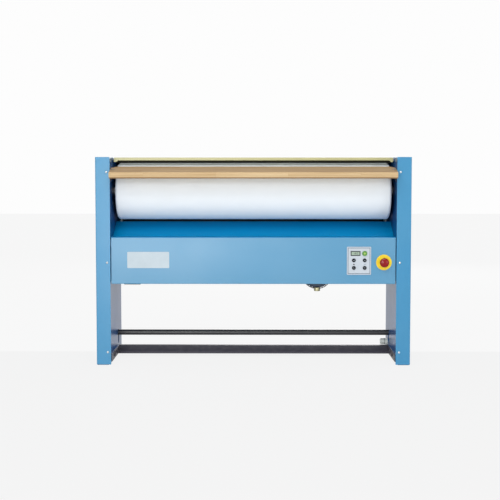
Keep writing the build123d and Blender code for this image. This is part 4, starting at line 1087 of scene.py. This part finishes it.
KEYPAD_RECESS = 1.0 * MM
KEYPAD_SHADE_LINE = (6.0 * MM, 4.0 * MM)
DISPLAY_LINE = (4.2 * MM, 0.2 * MM)
MARK_PROUD = 0.3 * MM
DASH_HALF = (4.0 * MM, 0.6 * MM)
DISPLAY_FIGURES = "180"
FIGURE_PITCH = 8.0 * MM
FIGURE_HALF_WIDTH = 1.9 * MM
FIGURE_HALF_HEIGHT = 3.4 * MM
FIGURE_STROKE = 1.2 * MM
LEVEL_STROKE = (FIGURE_HALF_WIDTH, FIGURE_STROKE / 2)
UPRIGHT_STROKE = (FIGURE_STROKE / 2, FIGURE_HALF_HEIGHT / 2 - FIGURE_STROKE * 0.4)
LIT_SEGMENTS = {"1": "bc", "8": "abcdefg", "0": "abcdef"}
SEGMENT_PLACES = {
    "a": (0.0, 1.0, LEVEL_STROKE),
    "b": (0.5, 0.5, UPRIGHT_STROKE),
    "c": (0.5, -0.5, UPRIGHT_STROKE),
    "d": (0.0, -1.0, LEVEL_STROKE),
    "e": (-0.5, -0.5, UPRIGHT_STROKE),
    "f": (-0.5, 0.5, UPRIGHT_STROKE),
    "g": (0.0, 0.0, LEVEL_STROKE),
}


def keypad_marks():
    """A painted shade line within the keypad's rim, the display's frame and figures, and a plain mark on
    each button.
    """
    low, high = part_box("keypad_plate")
    line = [box_outline(low, high, inset) for inset in KEYPAD_SHADE_LINE]
    # Painted shade: a dark line within the rim, where the rim's step would cast shade.
    raised("keypad_shade_line", *line, low.y + KEYPAD_RECESS / 2, KEYPAD_RECESS, "slate_ink")
    glass_low, glass_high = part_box("display_window")
    line = [box_outline(glass_low, glass_high, inset) for inset in DISPLAY_LINE]
    raised("display_frame", *line, glass_low.y, MARK_PROUD, "dark_ink")
    centre = (glass_low + glass_high) / 2
    for place, figure in enumerate(DISPLAY_FIGURES):
        figure_x = centre.x + (place - 1) * FIGURE_PITCH
        for segment in LIT_SEGMENTS[figure]:
            side, rise, stroke = SEGMENT_PLACES[segment]
            x, z = figure_x + side * 2 * FIGURE_HALF_WIDTH, centre.z + rise * FIGURE_HALF_HEIGHT
            outline = bar_outline(x, z, *stroke)
            raised(f"display_{place}{segment}", None, outline, glass_low.y, MARK_PROUD, "dark_ink")
    for key in ("key_up", "key_right"):
        button_mark(key + "_ring", key, "pale_ink", key, 1.8 * MM, hole=1.0 * MM)
    for key, turn in (("key_left", pi / 2), ("key_down", -pi / 2)):
        button_mark(key + "_arrow", key, "pale_ink", key, 2.0 * MM, sides=3, start=turn)
    button_mark("start_mark", "start_button", "lime_ink", "start", 5.5 * MM, sides=3)
    dash = bar_outline(middle("key_right").x, middle("status_lamp").z, *DASH_HALF)
    raised("keypad_dash", None, dash, low.y + KEYPAD_RECESS, MARK_PROUD, "slate_ink")


keypad_marks()


# ---------------------------------------------------------------- the motor's fan end and the cable gland
FAN_RIBS = 56
FAN_RIB_REACH = 7.0 * MM
FAN_RIB_LENGTH = 19.0 * MM
FAN_RIB_THICKNESS = 2.4 * MM
FAN_SETBACK = 9.5 * MM
FAN_INSET = 1.0 * MM
SHROUD_SHEET = 1.2 * MM
SHROUD_SIDES = 72
SHROUD_BACK = 2.0 * MM
SHROUD_DEPTH = 13.0 * MM
GLAND_RADIUS = 14.0 * MM
GLAND_LINE = 20.0 * MM
GLAND_SEAL_RADIUS = 0.9 * MM
GLAND_SIDES = 32


def fan_end():
    """Close ribs round the motor's front bell, held by a thin shroud."""
    low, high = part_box("drive_motor")
    radius = (high.x - low.x) / 2
    centre_x, centre_z = (low.x + high.x) / 2, low.z + radius
    reach, rib_y = radius - FAN_INSET, low.y + FAN_SETBACK + FAN_RIB_LENGTH / 2
    places = []
    for step in range(FAN_RIBS):
        turn = tau * (step + 0.5) / FAN_RIBS
        out = reach - FAN_RIB_REACH / 2
        place = (centre_x + out * cos(turn), rib_y, centre_z + out * sin(turn))
        places.append((place, (cos(turn), 0.0, sin(turn))))
    sizes = {"Rib Thickness": FAN_RIB_THICKNESS, "Rib Length": FAN_RIB_LENGTH, "Rib Reach": FAN_RIB_REACH}
    grown("motor_fan_ribs", spots("rib_spots", places), RIBS, sizes, "motor_navy", "frame")
    rims = [round_outline(centre_x, centre_z, rim, SHROUD_SIDES) for rim in (reach - SHROUD_SHEET, reach)]
    shroud_back = low.y + FAN_SETBACK + FAN_RIB_LENGTH - SHROUD_BACK
    raised("motor_shroud", *rims, shroud_back, SHROUD_DEPTH, "motor_navy")


fan_end()
gland, seal_x = middle("cable_gland"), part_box("cable_gland")[0].x + GLAND_LINE
seal_line = [(seal_x, y, z) for y, z in round_outline(gland.y, gland.z, GLAND_RADIUS, GLAND_SIDES)]
seal_size = {"Hem Radius": GLAND_SEAL_RADIUS}
grown("gland_seal", loops("gland_line", [seal_line]), ROPE, seal_size, "cast_grey", "frame")


# ---------------------------------------------------------------- drive chain
CHAIN_PITCH = 12.7 * MM
ROLLER_TEETH = 44
DRIVE_TEETH = 16
LOOP_STEP = 0.08


def chain_loop():
    """The chain's pitch line round its two wheels."""
    wheel, pinion = middle("roller_sprocket"), middle("drive_sprocket")
    wheel_radius, pinion_radius = [
        CHAIN_PITCH / 2 / sin(pi / teeth) for teeth in (ROLLER_TEETH, DRIVE_TEETH)
    ]
    x = middle("drive_chain").x
    dy, dz = pinion.y - wheel.y, pinion.z - wheel.z
    lean = atan2(dz, dy)
    spread = acos((wheel_radius - pinion_radius) / hypot(dy, dz))
    points = []
    for centre, radius, start, end in (
        (wheel, wheel_radius, lean + spread, lean + tau - spread),
        (pinion, pinion_radius, lean - spread, lean + spread),
    ):
        steps = max(8, int(abs(end - start) / LOOP_STEP))
        for step in range(steps + 1):
            angle = start + (end - start) * step / steps
            points.append(Vector((x, centre.y + radius * cos(angle), centre.z + radius * sin(angle))))
    return points


loop_points = chain_loop()
loop_length = sum((b - a).length for a, b in zip(loop_points, loop_points[1:] + loop_points[:1]))
link_count = 2 * round(loop_length / CHAIN_PITCH / 2)
chain_sizes = {"Links": link_count, "Pitch": loop_length / link_count}
chain_base = loops("chain_line", [loop_points])
grown("chain_links", chain_base, CHAIN, chain_sizes, "bare_steel", "frame", "drive_chain")


# ---------------------------------------------------------------- floor, light and camera
FLOOR_NEAR = tone(244, 244, 244)
FLOOR_FAR = tone(249, 249, 249)
SKY = tone(253, 253, 253)
FLOOR_LINE = REAR - 6.0 * MM
FLOOR_BLEND = 20.0 * MM
FLOOR_SHOWN = 0.95
FLOOR_REACH = 15.6
FLOOR_DROP = 0.4 * MM


def seen_plainly(tree):
    """1 for the rays that show a backdrop: from the camera, and off metal and glass."""
    path = put(tree, "ShaderNodeLightPath")
    first = calc(tree, "MAXIMUM", path.outputs["Is Camera Ray"], path.outputs["Is Glossy Ray"])
    return calc(tree, "MAXIMUM", first, path.outputs["Is Transmission Ray"])


def empty_tree(owner):
    """The node tree of a material or a world, with nothing in it."""
    owner.use_nodes = True
    owner.node_tree.nodes.clear()
    return owner.node_tree


def floor_material():
    """Pale studio floor, a shade lighter behind the machine, that keeps a soft shadow."""
    material = bpy.data.materials.new("studio_floor")
    tree = empty_tree(material)
    back = split(tree, object_place(tree))[1]
    far = ranged(tree, back, FLOOR_LINE - FLOOR_BLEND, FLOOR_LINE + FLOOR_BLEND)
    colour = mixed(tree, far, FLOOR_NEAR, FLOOR_FAR)
    plain = put(tree, "ShaderNodeEmission", {"Color": colour, "Strength": 1.0})
    lit = put(tree, "ShaderNodeBsdfDiffuse", {"Color": colour})
    share = times(tree, seen_plainly(tree), FLOOR_SHOWN)
    both = put(tree, "ShaderNodeMixShader", {0: share, 1: lit, 2: plain})
    put(tree, "ShaderNodeOutputMaterial", {"Surface": both})
    return material


def build_floor():
    """The floor that the machine stands on."""
    corners = [(x, y, -FLOOR_DROP) for x, y in bar_outline(0, 0, FLOOR_REACH, FLOOR_REACH)]
    mesh = plain_mesh("floor", corners, [], [(0, 1, 2, 3)])
    mesh.materials.append(floor_material())
    placed("floor", mesh)


def build_world(strength):
    """Even light from all round; the camera sees plain white there."""
    world = bpy.data.worlds.new("studio")
    bpy.context.scene.world = world
    tree = empty_tree(world)
    lighting = put(tree, "ShaderNodeBackground", {"Color": (0.96, 0.98, 1.0, 1.0), "Strength": strength})
    plain = put(tree, "ShaderNodeBackground", {"Color": SKY, "Strength": 1.0})
    both = put(tree, "ShaderNodeMixShader", {0: seen_plainly(tree), 1: lighting, 2: plain})
    put(tree, "ShaderNodeOutputWorld", {"Surface": both})


def soft_lamp(name, place, aim, size, power):
    """A large soft lamp."""
    data = bpy.data.lights.new(name, "AREA")
    data.shape = "RECTANGLE"
    data.size, data.size_y = size
    data.energy = power
    lamp = placed(name, data)
    lamp.location = place
    lamp.rotation_euler = (Vector(aim) - Vector(place)).to_track_quat("-Z", "Y").to_euler()


PHOTO_WIDTH = 500
SENSOR_WIDTH = 36.0
FOCAL_PIXELS = 1010.4
PRINCIPAL_ROW = 234.16
CAMERA_DISTANCE = 4.376
CAMERA_X = 0.0115
CAMERA_HEIGHT = 0.847
CAMERA_PITCH = 0.0623
CAMERA_YAW = 0.0059


def build_camera():
    """The photograph's viewpoint."""
    data = bpy.data.cameras.new("camera")
    data.sensor_width = SENSOR_WIDTH
    data.lens = SENSOR_WIDTH * FOCAL_PIXELS / PHOTO_WIDTH
    data.shift_y = -(PHOTO_WIDTH / 2 - PRINCIPAL_ROW) / PHOTO_WIDTH
    data.clip_end = 100.0
    camera = placed("camera", data)
    camera.location = (CAMERA_X, FRONT - CAMERA_DISTANCE, CAMERA_HEIGHT)
    camera.rotation_euler = (pi / 2 - CAMERA_PITCH, 0, CAMERA_YAW)
    bpy.context.scene.camera = camera


build_floor()
build_world(0.5)
soft_lamp("low_lamp", (-1.0, -4.7, 0.35), (-0.2, 0, 0.4), (1.8, 0.7), 47.0)
soft_lamp("key_lamp", (-0.9, -4.7, 1.8), (-0.1, 0, 0.6), (0.9, 0.9), 34.0)
soft_lamp("top_lamp", (-0.2, -2.2, 3.2), (0, 0, 0.6), (3.0, 1.4), 48.0)
soft_lamp("side_lamp", (2.8, -3.0, 0.8), (0.3, 0, 0.5), (1.4, 1.4), 15.0)
soft_lamp("rear_lamp", (0.8, 4.6, 1.8), (0, 0, 0.5), (2.4, 1.6), 60.0)
build_camera()

bpy.context.scene.view_settings.view_transform = "Standard"
